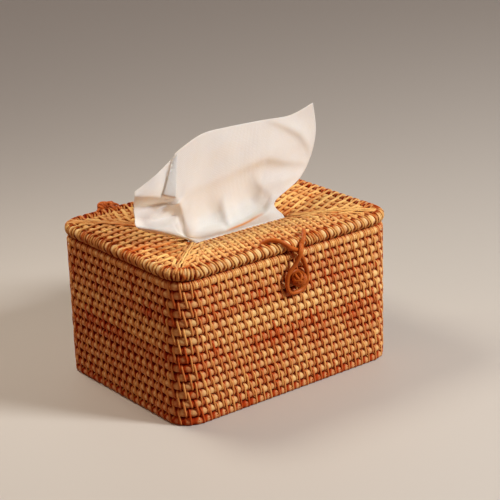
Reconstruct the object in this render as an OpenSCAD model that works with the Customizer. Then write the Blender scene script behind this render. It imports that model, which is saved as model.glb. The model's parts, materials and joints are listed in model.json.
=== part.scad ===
// Coiled rattan tissue box: a basket of stacked cane rows, a hinged lid of
// concentric cane rows round a dispensing slot, a loop-and-knot closure, and
// the tissues that it holds. Millimetres, +Z up, the basket stands on z = 0
// and the front, with the closure, faces -Y.

/* [Basket] */
// Length of the basket over its wall rows
body_l = 205; // [190:1:230]
// Width of the basket over its wall rows
body_w = 157; // [145:1:180]
// Outside radius of the upright corners
corner_r = 19.5; // [14:0.5:26]
// Number of cane rows in the wall, the rim row included
wall_rows = 16; // [12:1:20]
// Diameter of the core cane
cane_d = 6.4; // [5.8:0.1:6.6]
// Distance from one cane row to the next
coil_pitch = 7; // [6.9:0.05:7.6]
// Height cut from the base and the lowest row, so that the basket stands flat
foot_flat = 0.4; // [0.2:0.1:1]
// Tightest bend radius of the core cane, at the mitred corners
cane_bend = 3.9; // [3.8:0.1:5]

/* [Lid] */
// How far the lid stands out past the basket on each side
lid_overhang = 0.8; // [0:0.1:2]
// Diameter of the thick cane in the lid's rim
lid_rim_d = 8.6; // [7.6:0.1:9.6]
// Number of cane rows from the lid's rim to the slot, the slot's edge included
lid_rows = 7; // [5:1:8]
// How far the lid's panel sinks from its outermost row to the slot
lid_dish = 4.7; // [0:0.1:6]
// How far the panel's outermost row stands above the centre of the rim
lid_step = 0.3; // [0:0.1:1]
// Space between the two rims, which their bindings fill
rim_gap = 1.3; // [1.1:0.1:2]
// Diameter of the lashings that lie over the mitred corners
lashing_d = 2.2; // [1.6:0.1:3]

/* [Hinges] */
// Distance between the two hinge ties
hinge_spacing = 108; // [80:1:130]
// Diameter of the strand in a hinge tie
tie_d = 2.2; // [1.8:0.1:2.6]
// Running clearance between a tie and the canes that turn in it
tie_clearance = 0.7; // [0.6:0.05:0.9]
// Half thickness of a tie's knot
tie_knot_r = 4.2; // [3:0.1:4.4]
// Width of a tie's knot, along the rim
tie_knot_w = 14; // [9:0.5:18]
// Height of the tie's knot round the rim, as an angle above level
tie_knot_angle = 20; // [0:1:22]

/* [Closure] */
// Distance of the closure from the middle of the front, to the right
closure_offset = 2.8; // [0:0.1:10]
// Diameter of the loop's strand
strand_d = 3.4; // [2.6:0.1:3.8]
// Width of the loop's eye, on the strand's centre line
eye_w = 20.6; // [18:0.1:26]
// How far the loop hangs below the lid's rim, on the strand's centre line
loop_drop = 36.1; // [34:0.1:40]
// Distance between the loop's two legs where they leave the lid
loop_throat = 10.4; // [8:0.1:14]
// Sideways reach of the left leg to where it enters the lid
left_reach = 23; // [14:0.5:30]
// Sideways reach of the right leg to where it enters the lid
right_reach = 18.5; // [14:0.5:30]
// Diameter of the knot that the loop goes round
knot_d = 11.2; // [9:0.1:12]
// Diameter of the turn that lies behind the knot, on its centre line
collar_d = 10; // [8:0.1:10.4]
// Diameter of the strand that the knot is tied from
knot_strand_d = 2.4; // [2:0.1:3]
// Diameter of the tail that holds the knot through the wall
tail_d = 3; // [2:0.1:3.4]
// Diameter of the stop knot on the tail, inside the wall
stop_d = 6.6; // [5:0.1:8]
// Cane row on whose upper side the tail passes through the wall
tail_row = 13; // [8:1:13]
// How far the knot sits above its tail
knot_lift = 1.8; // [0:0.1:2.4]

/* [Tissues] */
// Space between each end of the folded stack and the wall
stack_end_gap = 5.1; // [3:0.1:20]
// Space between each side of the folded stack and the wall
stack_side_gap = 19.6; // [10:0.1:30]
// Height of the folded stack
stack_h = 46; // [20:1:60]
// Radius of the stack's upright corners
stack_r = 6; // [2:0.5:12]
// How far the pulled tissue stands above the slot
tissue_rise = 79; // [60:1:90]
// Thickness of the pulled tissue, its crumples included
tissue_t = 0.9; // [0.7:0.1:1.2]

/* [Hidden] */
$fn = 48;
// Clearance between neighbouring pieces that lie against each other
seat = 0.3;
// Thickness of the binding strips that go round the canes
binding_t = 0.5;
// Overrun of a cut past the piece that it cuts
overrun = 1;
// Step that worked-out lengths are rounded to
round_to = 0.01;
// Turn between the points of a knot's outline
knot_step = 30;

cane_r = cane_d / 2;
coil_gap = coil_pitch - cane_d;
wall_hl = body_l / 2 - cane_r;
wall_hw = body_w / 2 - cane_r;
wall_bend = corner_r - cane_r;
function row_z(row) = cane_r - foot_flat + (row - 1) * coil_pitch;
rim_row_z = row_z(wall_rows);

base_z = row_z(1);
base_steps = floor(wall_hw / (cane_d + coil_gap * 2 / 3));
base_pitch = floor(wall_hw / base_steps / round_to) * round_to;
base_rings = base_steps - 1;

lid_rim_r = lid_rim_d / 2;
lid_hl = body_l / 2 + lid_overhang - lid_rim_r;
lid_hw = body_w / 2 + lid_overhang - lid_rim_r;
lid_bend = corner_r + lid_overhang - lid_rim_r;
lid_rim_z = rim_row_z + cane_r + rim_gap + lid_rim_r;
function lid_inset(row) = lid_rim_r + coil_gap + cane_r + (row - 1) * coil_pitch;
function dish_share(row) = 1 - cos(90 * (row - 1) / (lid_rows - 1));
function lid_z(row) = lid_rim_z + lid_step - lid_dish * dish_share(row);
slot_hl = lid_hl - lid_inset(lid_rows) - cane_r;
slot_hw = lid_hw - lid_inset(lid_rows) - cane_r;
slot_z = lid_z(lid_rows) + cane_r;

tie_ring_r = lid_rim_r + tie_clearance + tie_d / 2;
tie_low_z = rim_row_z + tie_ring_r - (cane_r + tie_clearance + tie_d / 2);
notch_r = tie_ring_r + tie_d / 2 + seat;
notch_w = tie_d + 2 * seat;
tie_knot_reach = lid_rim_r + tie_clearance + tie_knot_r;

strand_r = strand_d / 2;
leg_r = lid_rim_r + binding_t + strand_r + seat;
leg_start = 2 * asin((strand_d + seat) / leg_r / 2);
leg_end = 136;
loop_y = -(lid_hw + leg_r);
cross_step = strand_d + binding_t;
tail_z = row_z(tail_row) + coil_pitch / 2;
knot_y = -(body_w / 2 + binding_t + knot_d / 2);
stop_y = -(wall_hw - cane_r - seat - stop_d / 2);

tissue_l = body_l - 2 * (cane_d + stack_end_gap);
stack_w = body_w - 2 * (cane_d + stack_side_gap);
stack_z = base_z + cane_r + binding_t + seat;
tissue_drop = slot_z - (stack_z + stack_h) - tissue_t;

// Route of the loop's strand: across in shares of half the eye's width, down
// in shares of the drop, and out from the wall in shares of one crossing
loop_shares = [
    [-0.505, 0, 0], [-0.18, 0.05, 0], [0.14, 0.105, 0], [0.52, 0.26, 0],
    [0.80, 0.445, 0], [1, 0.65, -0.08], [0.93, 0.85, -0.12], [0.56, 0.965, -0.14],
    [0, 1, -0.15], [-0.56, 0.96, -0.12], [-0.93, 0.84, -0.05], [-0.99, 0.68, 0.08],
    [-0.76, 0.53, 0.25], [-0.33, 0.38, 0.55], [-0.05, 0.24, 0.88], [0.14, 0.105, 1],
    [0.33, 0.045, 0.6], [0.505, 0, 0]];

// The pulled tissue, from its lower edge inside the box to its free edge, each
// row from left to right: along in shares of half a tissue's length, across in
// shares of half the slot's width, and up in shares of the rise above the slot
// or, below it, of the drop to the stack
sheet_shares = [
    [[-0.40, -0.18, -1], [-0.33, -0.55, -1], [-0.24, -0.14, -1], [-0.15, -0.51, -1], [-0.05, -0.09, -1],
     [0.04, -0.46, -1], [0.14, -0.14, -1], [0.26, -0.41, -1], [0.37, -0.18, -1]],
    [[-0.42, -0.28, -0.4], [-0.37, -0.69, -0.4], [-0.30, -0.23, -0.4], [-0.21, -0.65, -0.4],
     [-0.11, -0.18, -0.4], [0, -0.6, -0.4], [0.12, -0.18, -0.4], [0.25, -0.55, -0.4], [0.38, -0.23, -0.4]],
    [[-0.45, -0.46, -0.07], [-0.46, -0.75, -0.07], [-0.44, -0.91, -0.07], [-0.38, -0.94, -0.07],
     [-0.30, -0.94, -0.07], [-0.11, -0.94, -0.07], [0.11, -0.94, -0.07], [0.32, -0.94, -0.07],
     [0.46, -0.85, -0.07]],
    [[-0.47, -0.50, 0], [-0.46, -0.78, 0], [-0.44, -0.93, 0], [-0.38, -0.96, 0], [-0.30, -0.96, 0],
     [-0.11, -0.96, 0], [0.11, -0.96, 0], [0.32, -0.95, 0], [0.47, -0.87, 0]],
    [[-0.956, -0.65, 0.235], [-0.835, -0.92, 0.21], [-0.66, -0.92, 0.147], [-0.593, -0.88, 0.09],
     [-0.473, -0.945, 0.06], [-0.154, -0.91, 0.05], [0.11, -0.85, 0.06], [0.32, -0.78, 0.096],
     [0.527, -0.55, 0.08]],
    [[-0.98, -0.37, 0.35], [-0.78, -0.55, 0.273], [-0.70, -0.55, 0.286], [-0.55, -0.65, 0.21],
     [-0.495, -0.78, 0.16], [-0.09, -0.6, 0.134], [0.25, -0.41, 0.16], [0.505, -0.28, 0.21],
     [0.80, 0, 0.185]],
    [[-0.98, -0.37, 0.463], [-0.736, -0.28, 0.375], [-0.66, -0.37, 0.375], [-0.58, -0.69, 0.362],
     [-0.41, -0.65, 0.3], [-0.02, -0.41, 0.286], [0.37, -0.18, 0.35], [0.69, -0.05, 0.413],
     [0.967, 0.09, 0.413]],
    [[-1, -0.65, 0.55], [-0.835, -0.78, 0.54], [-0.747, -0.78, 0.527], [-0.626, -0.83, 0.476],
     [-0.3, -0.55, 0.64], [-0.01, -0.5, 0.666], [0.363, -0.32, 0.666], [0.70, -0.14, 0.678],
     [1.02, 0, 0.69]],
    [[-0.98, -0.55, 0.60], [-0.79, -0.65, 0.716], [-0.60, -0.55, 0.83], [-0.55, -0.55, 0.88],
     [-0.286, -0.46, 0.98], [0, -0.37, 0.98], [0.374, -0.28, 0.957], [0.70, -0.18, 0.93],
     [0.956, -0.18, 1]]];

function two(n) = n < 10 ? str("0", n) : str(n);
function wall_name(row) = row == wall_rows ? "basket_rim_coil" : str("wall_coil_", two(row));
function lid_name(row) = row == lid_rows ? "slot_edge_coil" : str("lid_coil_", row);
function base_name(ring) = str("base_coil_", two(ring));
sides = [["left", -1], ["right", 1]];
ends = [["front", -1], ["back", 1]];
function lashing_name(end, side) = str("mitre_lashing_", end[0], "_", side[0]);

// Curves and tubes

// Point at share s between b and c of four points on a smooth curve
function smooth(a, b, c, d, s) =
    b + (c - a) * s / 2 + (a * 2 - b * 5 + c * 4 - d) * pow(s, 2) / 2
    + (b * 3 - a - c * 3 + d) * pow(s, 3) / 2;
// Smooth curve through the points, with the given number of steps to each stretch
function curve(points, steps) = let (last = len(points) - 1)
    [for (i = [0:last - 1]) for (s = [0:steps - 1])
        smooth(points[max(i - 1, 0)], points[i], points[i + 1], points[min(i + 2, last)], s / steps),
     points[last]];
function unit(v) = v / norm(v);
function heading(points, i) = unit(points[min(i + 1, len(points) - 1)] - points[max(i - 1, 0)]);

// Ring of a tube round a centre, square to the heading
function ring(centre, heading, radius, across, tube_sides) =
    let (u = unit(cross(heading, across)), v = cross(heading, u))
    [for (k = [0:tube_sides - 1]) let (a = 360 * k / tube_sides) centre + radius * (u * cos(a) + v * sin(a))];

// Tube along the points, with round ends
module tube(points, radius, across, tube_sides) {
    last = len(points) - 1;
    cap = [75, 40];
    rings = concat(
        [for (a = cap) ring(points[0] - heading(points, 0) * radius * sin(a), heading(points, 0),
            radius * cos(a), across, tube_sides)],
        [for (i = [0:last]) ring(points[i], heading(points, i), radius, across, tube_sides)],
        [for (a = [cap[1], cap[0]]) ring(points[last] + heading(points, last) * radius * sin(a),
            heading(points, last), radius * cos(a), across, tube_sides)]);
    count = len(rings);
    polyhedron(
        points = [for (r = rings) for (p = r) p],
        faces = concat(
            [[for (k = [0:tube_sides - 1]) k]],
            [[for (k = [tube_sides - 1:-1:0]) (count - 1) * tube_sides + k]],
            [for (i = [0:count - 2]) for (k = [0:tube_sides - 1])
                let (n = (k + 1) % tube_sides, a = i * tube_sides, b = a + tube_sides)
                each [[a + k, b + k, b + n], [a + k, b + n, a + n]]]));
}

// Cane bent into a rounded rectangle, at half sizes and bend on its centre line
module coil(half_l, half_w, bend, radius) {
    for (side = [-1, 1]) {
        translate([bend - half_l, side * half_w, 0]) rotate([0, 90, 0])
            cylinder(r = radius, h = 2 * (half_l - bend));
        translate([side * half_l, half_w - bend, 0]) rotate([90, 0, 0])
            cylinder(r = radius, h = 2 * (half_w - bend));
    }
    for (turn = [0:3]) {
        sx = (turn == 0 || turn == 3) ? 1 : -1;
        sy = turn < 2 ? 1 : -1;
        translate([sx * (half_l - bend), sy * (half_w - bend), 0]) rotate(90 * turn)
            rotate_extrude(angle = 90) translate([bend, 0]) circle(radius);
    }
}

// Basket

module tie_notches(z) {
    for (side = [-1, 1]) translate([side * hinge_spacing / 2 - notch_w / 2, lid_hw, z])
        rotate([0, 90, 0]) cylinder(r = notch_r, h = notch_w);
}

module below_floor() {
    translate([-body_l, -body_w, -cane_d]) cube([2 * body_l, 2 * body_w, cane_d]);
}

module wall_row(row) {
    color("peru") difference() {
        translate([0, 0, row_z(row)]) coil(wall_hl, wall_hw, wall_bend, cane_r);
        if (row == 1) below_floor();
        if (row == wall_rows - 1) tie_notches(tie_low_z);
        if (row == tail_row || row == tail_row + 1)
            translate([closure_offset, -(wall_hw - cane_r - overrun), tail_z]) rotate([90, 0, 0])
                cylinder(d = tail_d + 2 * seat, h = cane_d + 2 * overrun);
    }
}

module base_ring(number) {
    inset = number * base_pitch;
    color("burlywood") difference() {
        translate([0, 0, base_z])
            coil(wall_hl - inset, wall_hw - inset, max(wall_bend - inset, cane_bend), cane_r);
        below_floor();
    }
}

module base_centre_cane() {
    half = wall_hl - wall_hw;
    color("burlywood") difference() {
        translate([-half, 0, base_z]) rotate([0, 90, 0]) cylinder(r = cane_r, h = 2 * half);
        below_floor();
    }
}

// Knot on a tie, as an oval bead that lies along the rim
module tie_knot() {
    rotate([0, 90, 0]) rotate_extrude()
        polygon([for (a = [-90:knot_step:90]) [tie_knot_r * cos(a), tie_knot_w / 2 * sin(a)]]);
}

// Ring of strand round both rims, with its knot at the back; the lid's rim turns in it
module hinge_tie(side) {
    color("sienna") translate([side * hinge_spacing / 2, lid_hw, 0]) {
        translate([0, 0, lid_rim_z]) rotate([90, 0, 90])
            rotate_extrude(angle = 180) translate([tie_ring_r, 0]) circle(d = tie_d);
        translate([0, 0, tie_low_z]) rotate([90, 0, 90]) rotate(180)
            rotate_extrude(angle = 180) translate([tie_ring_r, 0]) circle(d = tie_d);
        for (face = [-1, 1]) translate([0, face * tie_ring_r, tie_low_z])
            cylinder(d = tie_d, h = lid_rim_z - tie_low_z);
        translate([0, 0, lid_rim_z]) rotate([tie_knot_angle, 0, 0]) translate([0, tie_knot_reach, 0])
            tie_knot();
    }
}

// Lid

module lid_rim_coil() {
    color("goldenrod") translate([0, 0, lid_rim_z]) coil(lid_hl, lid_hw, lid_bend, lid_rim_r);
}

module lid_row(row) {
    inset = lid_inset(row);
    color("goldenrod") difference() {
        translate([0, 0, lid_z(row)])
            coil(lid_hl - inset, lid_hw - inset, max(lid_bend - inset, cane_bend), cane_r);
        if (row == 1) {
            tie_notches(lid_rim_z);
            for (side = [-1, 1])
                translate([side * hinge_spacing / 2 - notch_w / 2, lid_hw - notch_r, lid_rim_z - cane_d])
                    cube([notch_w, notch_r, cane_d]);
        }
    }
}

// Middle of a row's mitred corner, on top of its cane
function mitre_point(row) =
    let (inset = lid_inset(row), bend = max(lid_bend - inset, cane_bend), back = bend * (1 - cos(45)))
    [lid_hl - inset - back, lid_hw - inset - back, lid_z(row) + cane_r + seat + lashing_d / 2];

module mitre_lashing(end, side) {
    color("tan") mirror([side < 0 ? 1 : 0, 0, 0]) mirror([0, end < 0 ? 1 : 0, 0])
        tube([for (row = [1:lid_rows]) mitre_point(row)], lashing_d / 2, [0, 0, 1], 12);
}

// Closure

// Leg of the loop: over the lid's rim, from the front to behind it
module loop_leg(side, reach) {
    steps = 12;
    color("chocolate") tube(
        [for (i = [0:steps]) let (share = i / steps, a = leg_start + (leg_end - leg_start) * share)
            [closure_offset + side * (loop_throat / 2 + (reach - loop_throat / 2) * share),
             -lid_hw - leg_r * cos(a), lid_rim_z + leg_r * sin(a)]],
        strand_r, [1, 0, 0], 8);
}

loop_route = curve([for (s = loop_shares)
    [closure_offset + s.x * eye_w / 2, loop_y - s.z * cross_step, lid_rim_z - s.y * loop_drop]], 3);
loop_gap = min([for (i = [0:len(loop_route) - 8]) for (j = [i + 7:len(loop_route) - 1])
    norm(loop_route[i] - loop_route[j])]) - strand_d;
echo(str("closure loop, least gap to itself in mm: ", loop_gap));

module closure_loop() {
    color("chocolate") tube(loop_route, strand_r, [0, 1, 0], 8);
}

module closure_knot() {
    color("saddlebrown") {
        translate([closure_offset, knot_y, tail_z + knot_lift]) sphere(d = knot_d);
        translate([closure_offset, -(body_w / 2 + binding_t + knot_strand_d / 2), tail_z + knot_lift])
            rotate([90, 0, 0]) rotate_extrude()
                translate([collar_d / 2, 0]) circle(d = knot_strand_d);
        translate([closure_offset, stop_y, tail_z]) rotate([90, 0, 0])
            cylinder(d = tail_d, h = stop_y - knot_y);
        translate([closure_offset, stop_y, tail_z]) sphere(d = stop_d);
    }
}

// Tissues

module tissue_stack() {
    color("whitesmoke") translate([0, 0, stack_z]) linear_extrude(stack_h) {
        square([tissue_l - 2 * stack_r, stack_w], center = true);
        square([tissue_l, stack_w - 2 * stack_r], center = true);
        for (sx = [-1, 1]) for (sy = [-1, 1])
            translate([sx * (tissue_l / 2 - stack_r), sy * (stack_w / 2 - stack_r)]) circle(stack_r);
    }
}

sheet_steps = 2;
sheet_rows = [for (line = sheet_shares) curve([for (s = line)
    [s.x * tissue_l / 2, s.y * slot_hw, slot_z + s.z * (s.z < 0 ? tissue_drop : tissue_rise)]], sheet_steps)];
sheet_across = len(sheet_rows[0]);
sheet_lines = [for (i = [0:sheet_across - 1]) curve([for (row = sheet_rows) row[i]], sheet_steps)];
sheet_up = len(sheet_lines[0]);
function sheet_point(i, j) =
    sheet_lines[min(max(i, 0), sheet_across - 1)][min(max(j, 0), sheet_up - 1)];
function sheet_normal(i, j) = unit(cross(
    sheet_point(i + 1, j) - sheet_point(i - 1, j), sheet_point(i, j + 1) - sheet_point(i, j - 1)));

module tissue_sheet() {
    count = sheet_across * sheet_up;
    front = function (i, j) i * sheet_up + j;
    back = function (i, j) count + front(i, j);
    rim = concat([for (i = [0:sheet_across - 2]) [i, 0]],
        [for (j = [0:sheet_up - 2]) [sheet_across - 1, j]],
        [for (i = [sheet_across - 1:-1:1]) [i, sheet_up - 1]],
        [for (j = [sheet_up - 1:-1:1]) [0, j]]);
    color("ivory") polyhedron(
        points = [for (face = [1, -1]) for (i = [0:sheet_across - 1]) for (j = [0:sheet_up - 1])
            sheet_point(i, j) + sheet_normal(i, j) * face * tissue_t / 2],
        faces = concat(
            [for (i = [0:sheet_across - 2]) for (j = [0:sheet_up - 2]) each [
                [front(i, j), front(i, j + 1), front(i + 1, j + 1)],
                [front(i, j), front(i + 1, j + 1), front(i + 1, j)],
                [back(i, j), back(i + 1, j + 1), back(i, j + 1)],
                [back(i, j), back(i + 1, j), back(i + 1, j + 1)]]],
            [for (k = [0:len(rim) - 1]) let (a = rim[k], b = rim[(k + 1) % len(rim)]) each [
                [front(a.x, a.y), front(b.x, b.y), back(b.x, b.y)],
                [front(a.x, a.y), back(b.x, b.y), back(a.x, a.y)]]]));
}

for (row = [1:wall_rows]) wall_row(row);
for (number = [1:base_rings]) base_ring(number);
base_centre_cane();
lid_rim_coil();
for (row = [1:lid_rows]) lid_row(row);
for (end = ends) for (side = sides)
    mitre_lashing(end[1], side[1]);
hinge_tie(-1);  // hinge_tie_left
hinge_tie(1);  // hinge_tie_right
loop_leg(-1, left_reach);  // loop_leg_left
loop_leg(1, right_reach);  // loop_leg_right
closure_loop();
closure_knot();
tissue_stack();
tissue_sheet();
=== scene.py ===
# %% [markdown]
# # A coiled rattan tissue box
# This box is coiled: rows of round core cane are stacked up, and thin strips of
# split cane are stitched round each pair of rows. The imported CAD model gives
# the place of every row, tie, loop and tissue. Here each of them gets the look
# of the real thing: canes that swell between their stitches, slanting strips,
# knots wound from cord, and thin creased paper.

# %% Load the frame
import bpy, json, math
import numpy as np
from mathutils import Matrix, Vector

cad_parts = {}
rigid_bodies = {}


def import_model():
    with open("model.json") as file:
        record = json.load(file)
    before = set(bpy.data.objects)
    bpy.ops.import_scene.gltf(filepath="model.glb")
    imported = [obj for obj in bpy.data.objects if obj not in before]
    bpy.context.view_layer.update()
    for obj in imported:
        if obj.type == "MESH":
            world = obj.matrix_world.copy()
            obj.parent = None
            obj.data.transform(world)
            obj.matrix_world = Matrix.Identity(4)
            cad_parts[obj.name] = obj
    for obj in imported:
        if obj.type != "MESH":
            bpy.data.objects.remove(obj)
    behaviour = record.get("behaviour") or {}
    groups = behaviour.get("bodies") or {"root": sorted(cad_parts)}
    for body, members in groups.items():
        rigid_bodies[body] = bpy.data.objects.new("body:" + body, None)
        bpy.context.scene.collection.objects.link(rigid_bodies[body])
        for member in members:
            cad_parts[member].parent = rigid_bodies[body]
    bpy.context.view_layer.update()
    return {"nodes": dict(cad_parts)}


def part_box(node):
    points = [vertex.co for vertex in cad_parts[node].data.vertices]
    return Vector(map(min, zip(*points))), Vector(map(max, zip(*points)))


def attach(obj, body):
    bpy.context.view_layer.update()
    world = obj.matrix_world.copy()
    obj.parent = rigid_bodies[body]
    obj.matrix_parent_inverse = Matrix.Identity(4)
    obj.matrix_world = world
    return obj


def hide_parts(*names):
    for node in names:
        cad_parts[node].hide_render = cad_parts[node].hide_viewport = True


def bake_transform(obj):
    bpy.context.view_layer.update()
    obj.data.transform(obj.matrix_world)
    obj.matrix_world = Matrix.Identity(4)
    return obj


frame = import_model()
MM = 0.001

# %% [markdown]
# ## Camera and light
# The camera stands where the photograph was taken from: in front and to the
# left, twenty degrees above the box, with a long lens. The main light is a soft
# lamp from the front right, so that the left end falls into shade as it does in
# the photograph. A weak reddish lamp keeps that shade warm, a small one above
# brightens the left of the lid, and the world adds a little from all sides.

# %% Camera
LENS, SENSOR, NEAREST = 116.88, 36, 0.05
CAMERA_AT, CAMERA_YAW, CAMERA_PITCH, CAMERA_ROLL = (-0.7073, -0.9449, 0.5200), 37.717, 19.933, -1.837

def in_scene(name, data):
    """Object with its data, linked into the scene."""
    obj = bpy.data.objects.new(name, data)
    bpy.context.collection.objects.link(obj)
    return obj

def look_from(place, yaw, pitch, roll):
    """Matrix of a camera at a place, turned from looking along +Y."""
    y, p, r = (math.radians(a) for a in (yaw, pitch, roll))
    ahead = Vector((math.sin(y) * math.cos(p), math.cos(y) * math.cos(p), -math.sin(p)))
    right = Vector((math.cos(y), -math.sin(y), 0))
    up = right.cross(ahead)
    right, up = math.cos(r) * right + math.sin(r) * up, math.cos(r) * up - math.sin(r) * right
    return Matrix.Translation(place) @ Matrix((right, up, -ahead)).transposed().to_4x4()

camera = in_scene("camera", bpy.data.cameras.new("camera"))
camera.data.sensor_width, camera.data.lens, camera.data.clip_start = SENSOR, LENS, NEAREST
camera.matrix_world = look_from(CAMERA_AT, CAMERA_YAW, CAMERA_PITCH, CAMERA_ROLL)
bpy.context.scene.camera = camera
print("lens", round(camera.data.lens, 1), "mm")

# %% Lamps
def lamp(name, place, target, size, power, colour):
    light = bpy.data.lights.new(name, "AREA")
    light.shape, light.size, light.energy, light.color = "DISK", size, power, colour
    obj = in_scene(name, light)
    obj.location = place
    obj.rotation_euler = (Vector(target) - Vector(place)).to_track_quat("-Z", "Y").to_euler()

lamp("key", (0.72, -1.2, 1.1), (0, 0, 0.06), 0.4, 27, (1, 0.96, 0.90))
lamp("fill", (-1.5, -0.5, 0.7), (0, 0, 0.06), 1.2, 1.7, (1, 0.38, 0.17))
lamp("top", (-0.15, 0.2, 0.55), (-0.04, 0, 0.1), 0.2, 1.6, (1, 0.88, 0.72))

# %% Helpers for nodes
def put(tree, socket, value):
    """Gives an input a value, or links it where the value is another node's output."""
    if isinstance(value, bpy.types.NodeSocket):
        tree.links.new(value, socket)
    else:
        socket.default_value = value

def node(tree, kind, inputs=(), **settings):
    """Adds a node with its settings; its inputs are given by name or number."""
    made = tree.nodes.new(kind)
    for name, value in settings.items():
        setattr(made, name, value)
    for key, value in dict(inputs).items():
        put(tree, made.inputs[key], value)
    return made

def calc(tree, operation, *values):
    """Output of one Math node."""
    return node(tree, "ShaderNodeMath", enumerate(values), operation=operation).outputs[0]

def seen_directly(tree):
    """1 where the camera looks, also by way of a shiny or clear surface."""
    path = node(tree, "ShaderNodeLightPath").outputs
    shiny = calc(tree, "MAXIMUM", path["Is Camera Ray"], path["Is Glossy Ray"])
    return calc(tree, "MAXIMUM", shiny, path["Is Transmission Ray"])

# %% World
WORLD_LIGHT, WORLD_POWER, WORLD_SEEN = (1, 0.53, 0.30, 1), 0.13, (0.72, 0.70, 0.67, 1)
bpy.context.scene.view_settings.view_transform = "Standard"
world = bpy.data.worlds.new("studio")
bpy.context.scene.world = world
world.use_nodes = True
wt = world.node_tree
wt.nodes.clear()
glow = node(wt, "ShaderNodeBackground", {"Color": WORLD_LIGHT, "Strength": WORLD_POWER}).outputs[0]
backdrop = node(wt, "ShaderNodeBackground", {"Color": WORLD_SEEN}).outputs[0]
either = node(wt, "ShaderNodeMixShader", {"Fac": seen_directly(wt), 1: glow, 2: backdrop}).outputs[0]
node(wt, "ShaderNodeOutputWorld", {"Surface": either})
print("world:", world.name, "at", WORLD_POWER)

# %% [markdown]
# ## Finishes
# All the cane comes from one plant, so one node group makes its colour and its
# relief: broad patches of honey and brown, fine specks and fibres, and a tone
# of its own for each strip. Shade is painted into that colour: the canes are
# darker in the valleys that the stitches press into them and where they turn
# into the gaps between the rows, and the deepest parts run into a deep red-brown.

# %% Shader helpers
def mix_colour(tree, factor, a, b):
    """Colour a where the factor is 0, b where it is 1."""
    return node(tree, "ShaderNodeMix", {0: factor, 6: a, 7: b}, data_type="RGBA").outputs[2]

def grain(tree, vector, scale, detail, rough=0.5):
    values = {"Vector": vector, "Scale": scale, "Detail": detail, "Roughness": rough}
    return node(tree, "ShaderNodeTexNoise", values).outputs["Fac"]

def map_range(tree, value, a, b, c, d, kind="LINEAR"):
    """Turns a value that runs from a to b into one from c to d."""
    values = {0: value, 1: a, 2: b, 3: c, 4: d}
    return node(tree, "ShaderNodeMapRange", values, interpolation_type=kind).outputs[0]

# %% Cane colour group
PATCH_SCALE, SPECK_SCALE, FIBRE_SCALE, SPECK_SHARE = 45, 700, 2600, 0.7
# How much painted shade the stitches' valleys and the gaps between rows get.
VALLEY_PAINTED_SHADE, GAP_PAINTED_SHADE, VALLEY_DEPTH = 0.7, 0.75, 0.75
cg = bpy.data.node_groups.new("cane colour", "ShaderNodeTree")
for label, kind, value in (("Light", "Color", (0.8, 0.5, 0.2, 1)), ("Dark", "Color", (0.4, 0.15, 0.03, 1)),
                           ("Deep", "Color", (0.1, 0.02, 0.004, 1)), ("Tone", "Float", 0.6),
                           ("Valley", "Float", 0.0), ("Gap", "Float", 0.0), ("Patches", "Float", 0.5)):
    cg.interface.new_socket(label, in_out="INPUT", socket_type="NodeSocket" + kind).default_value = value
for label, kind in (("Color", "Color"), ("Roughness", "Float"), ("Height", "Float"), ("Varnish", "Float")):
    cg.interface.new_socket(label, in_out="OUTPUT", socket_type="NodeSocket" + kind)
given = node(cg, "NodeGroupInput").outputs
coords = node(cg, "ShaderNodeTexCoord").outputs["Object"]
patches, specks = grain(cg, coords, PATCH_SCALE, 3), grain(cg, coords, SPECK_SCALE, 3, 0.6)
fibres = grain(cg, coords, FIBRE_SCALE, 2, 0.6)

def about_half(value, amount):
    """The value's swing about a half, times an amount."""
    return calc(cg, "MULTIPLY", calc(cg, "SUBTRACT", value, 0.5), amount)

def weighed(valley, gap):
    """The painted shade of the valleys and the gaps in one sum, each with its weight."""
    gaps, valleys = calc(cg, "MULTIPLY", given["Gap"], gap), calc(cg, "MULTIPLY", given["Valley"], valley)
    return calc(cg, "ADD", gaps, valleys)

mottle = calc(cg, "ADD", about_half(patches, given["Patches"]), about_half(specks, SPECK_SHARE))
# Painted shade: the tone drops in the stitches' valleys and where the cane turns towards the next row.
tone = calc(cg, "SUBTRACT", calc(cg, "ADD", given["Tone"], mottle), weighed(VALLEY_PAINTED_SHADE, GAP_PAINTED_SHADE))
plain = mix_colour(cg, map_range(cg, tone, 0, 1, 0, 1), given["Dark"], given["Light"])
# Painted shade: the deepest valleys and gaps run into the deep shade colour, and are rougher and less coated
# there.
depth = weighed(VALLEY_DEPTH, 1)
rough = calc(cg, "ADD", map_range(cg, specks, 0.3, 0.7, 0.42, 0.56), map_range(cg, depth, 0.1, 1, 0, 0.45))
node(cg, "NodeGroupOutput", {
    "Color": mix_colour(cg, map_range(cg, depth, 0.5, 1.3, 0, 1), plain, given["Deep"]),
    "Roughness": rough,
    "Height": calc(cg, "ADD", fibres, specks),
    "Varnish": map_range(cg, depth, 0.1, 0.6, 0.12, 0)})
print("cane colour:", len(cg.nodes), "nodes")

# %% Materials made from it
# The first colour here is the painted shade in the deepest valleys and gaps between the canes.
DEEP_SHADE_COLOUR, CANE_SHINE, COAT_ROUGHNESS = (0.25, 0.011, 0.0006, 1), 0.14, 0.3
BUMP_STRENGTH, BUMP_DEPTH = 0.25, 0.0004

def new_material(name):
    material = bpy.data.materials.new(name)
    material.use_nodes = True
    return material, material.node_tree, material.node_tree.nodes["Principled BSDF"]

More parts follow.
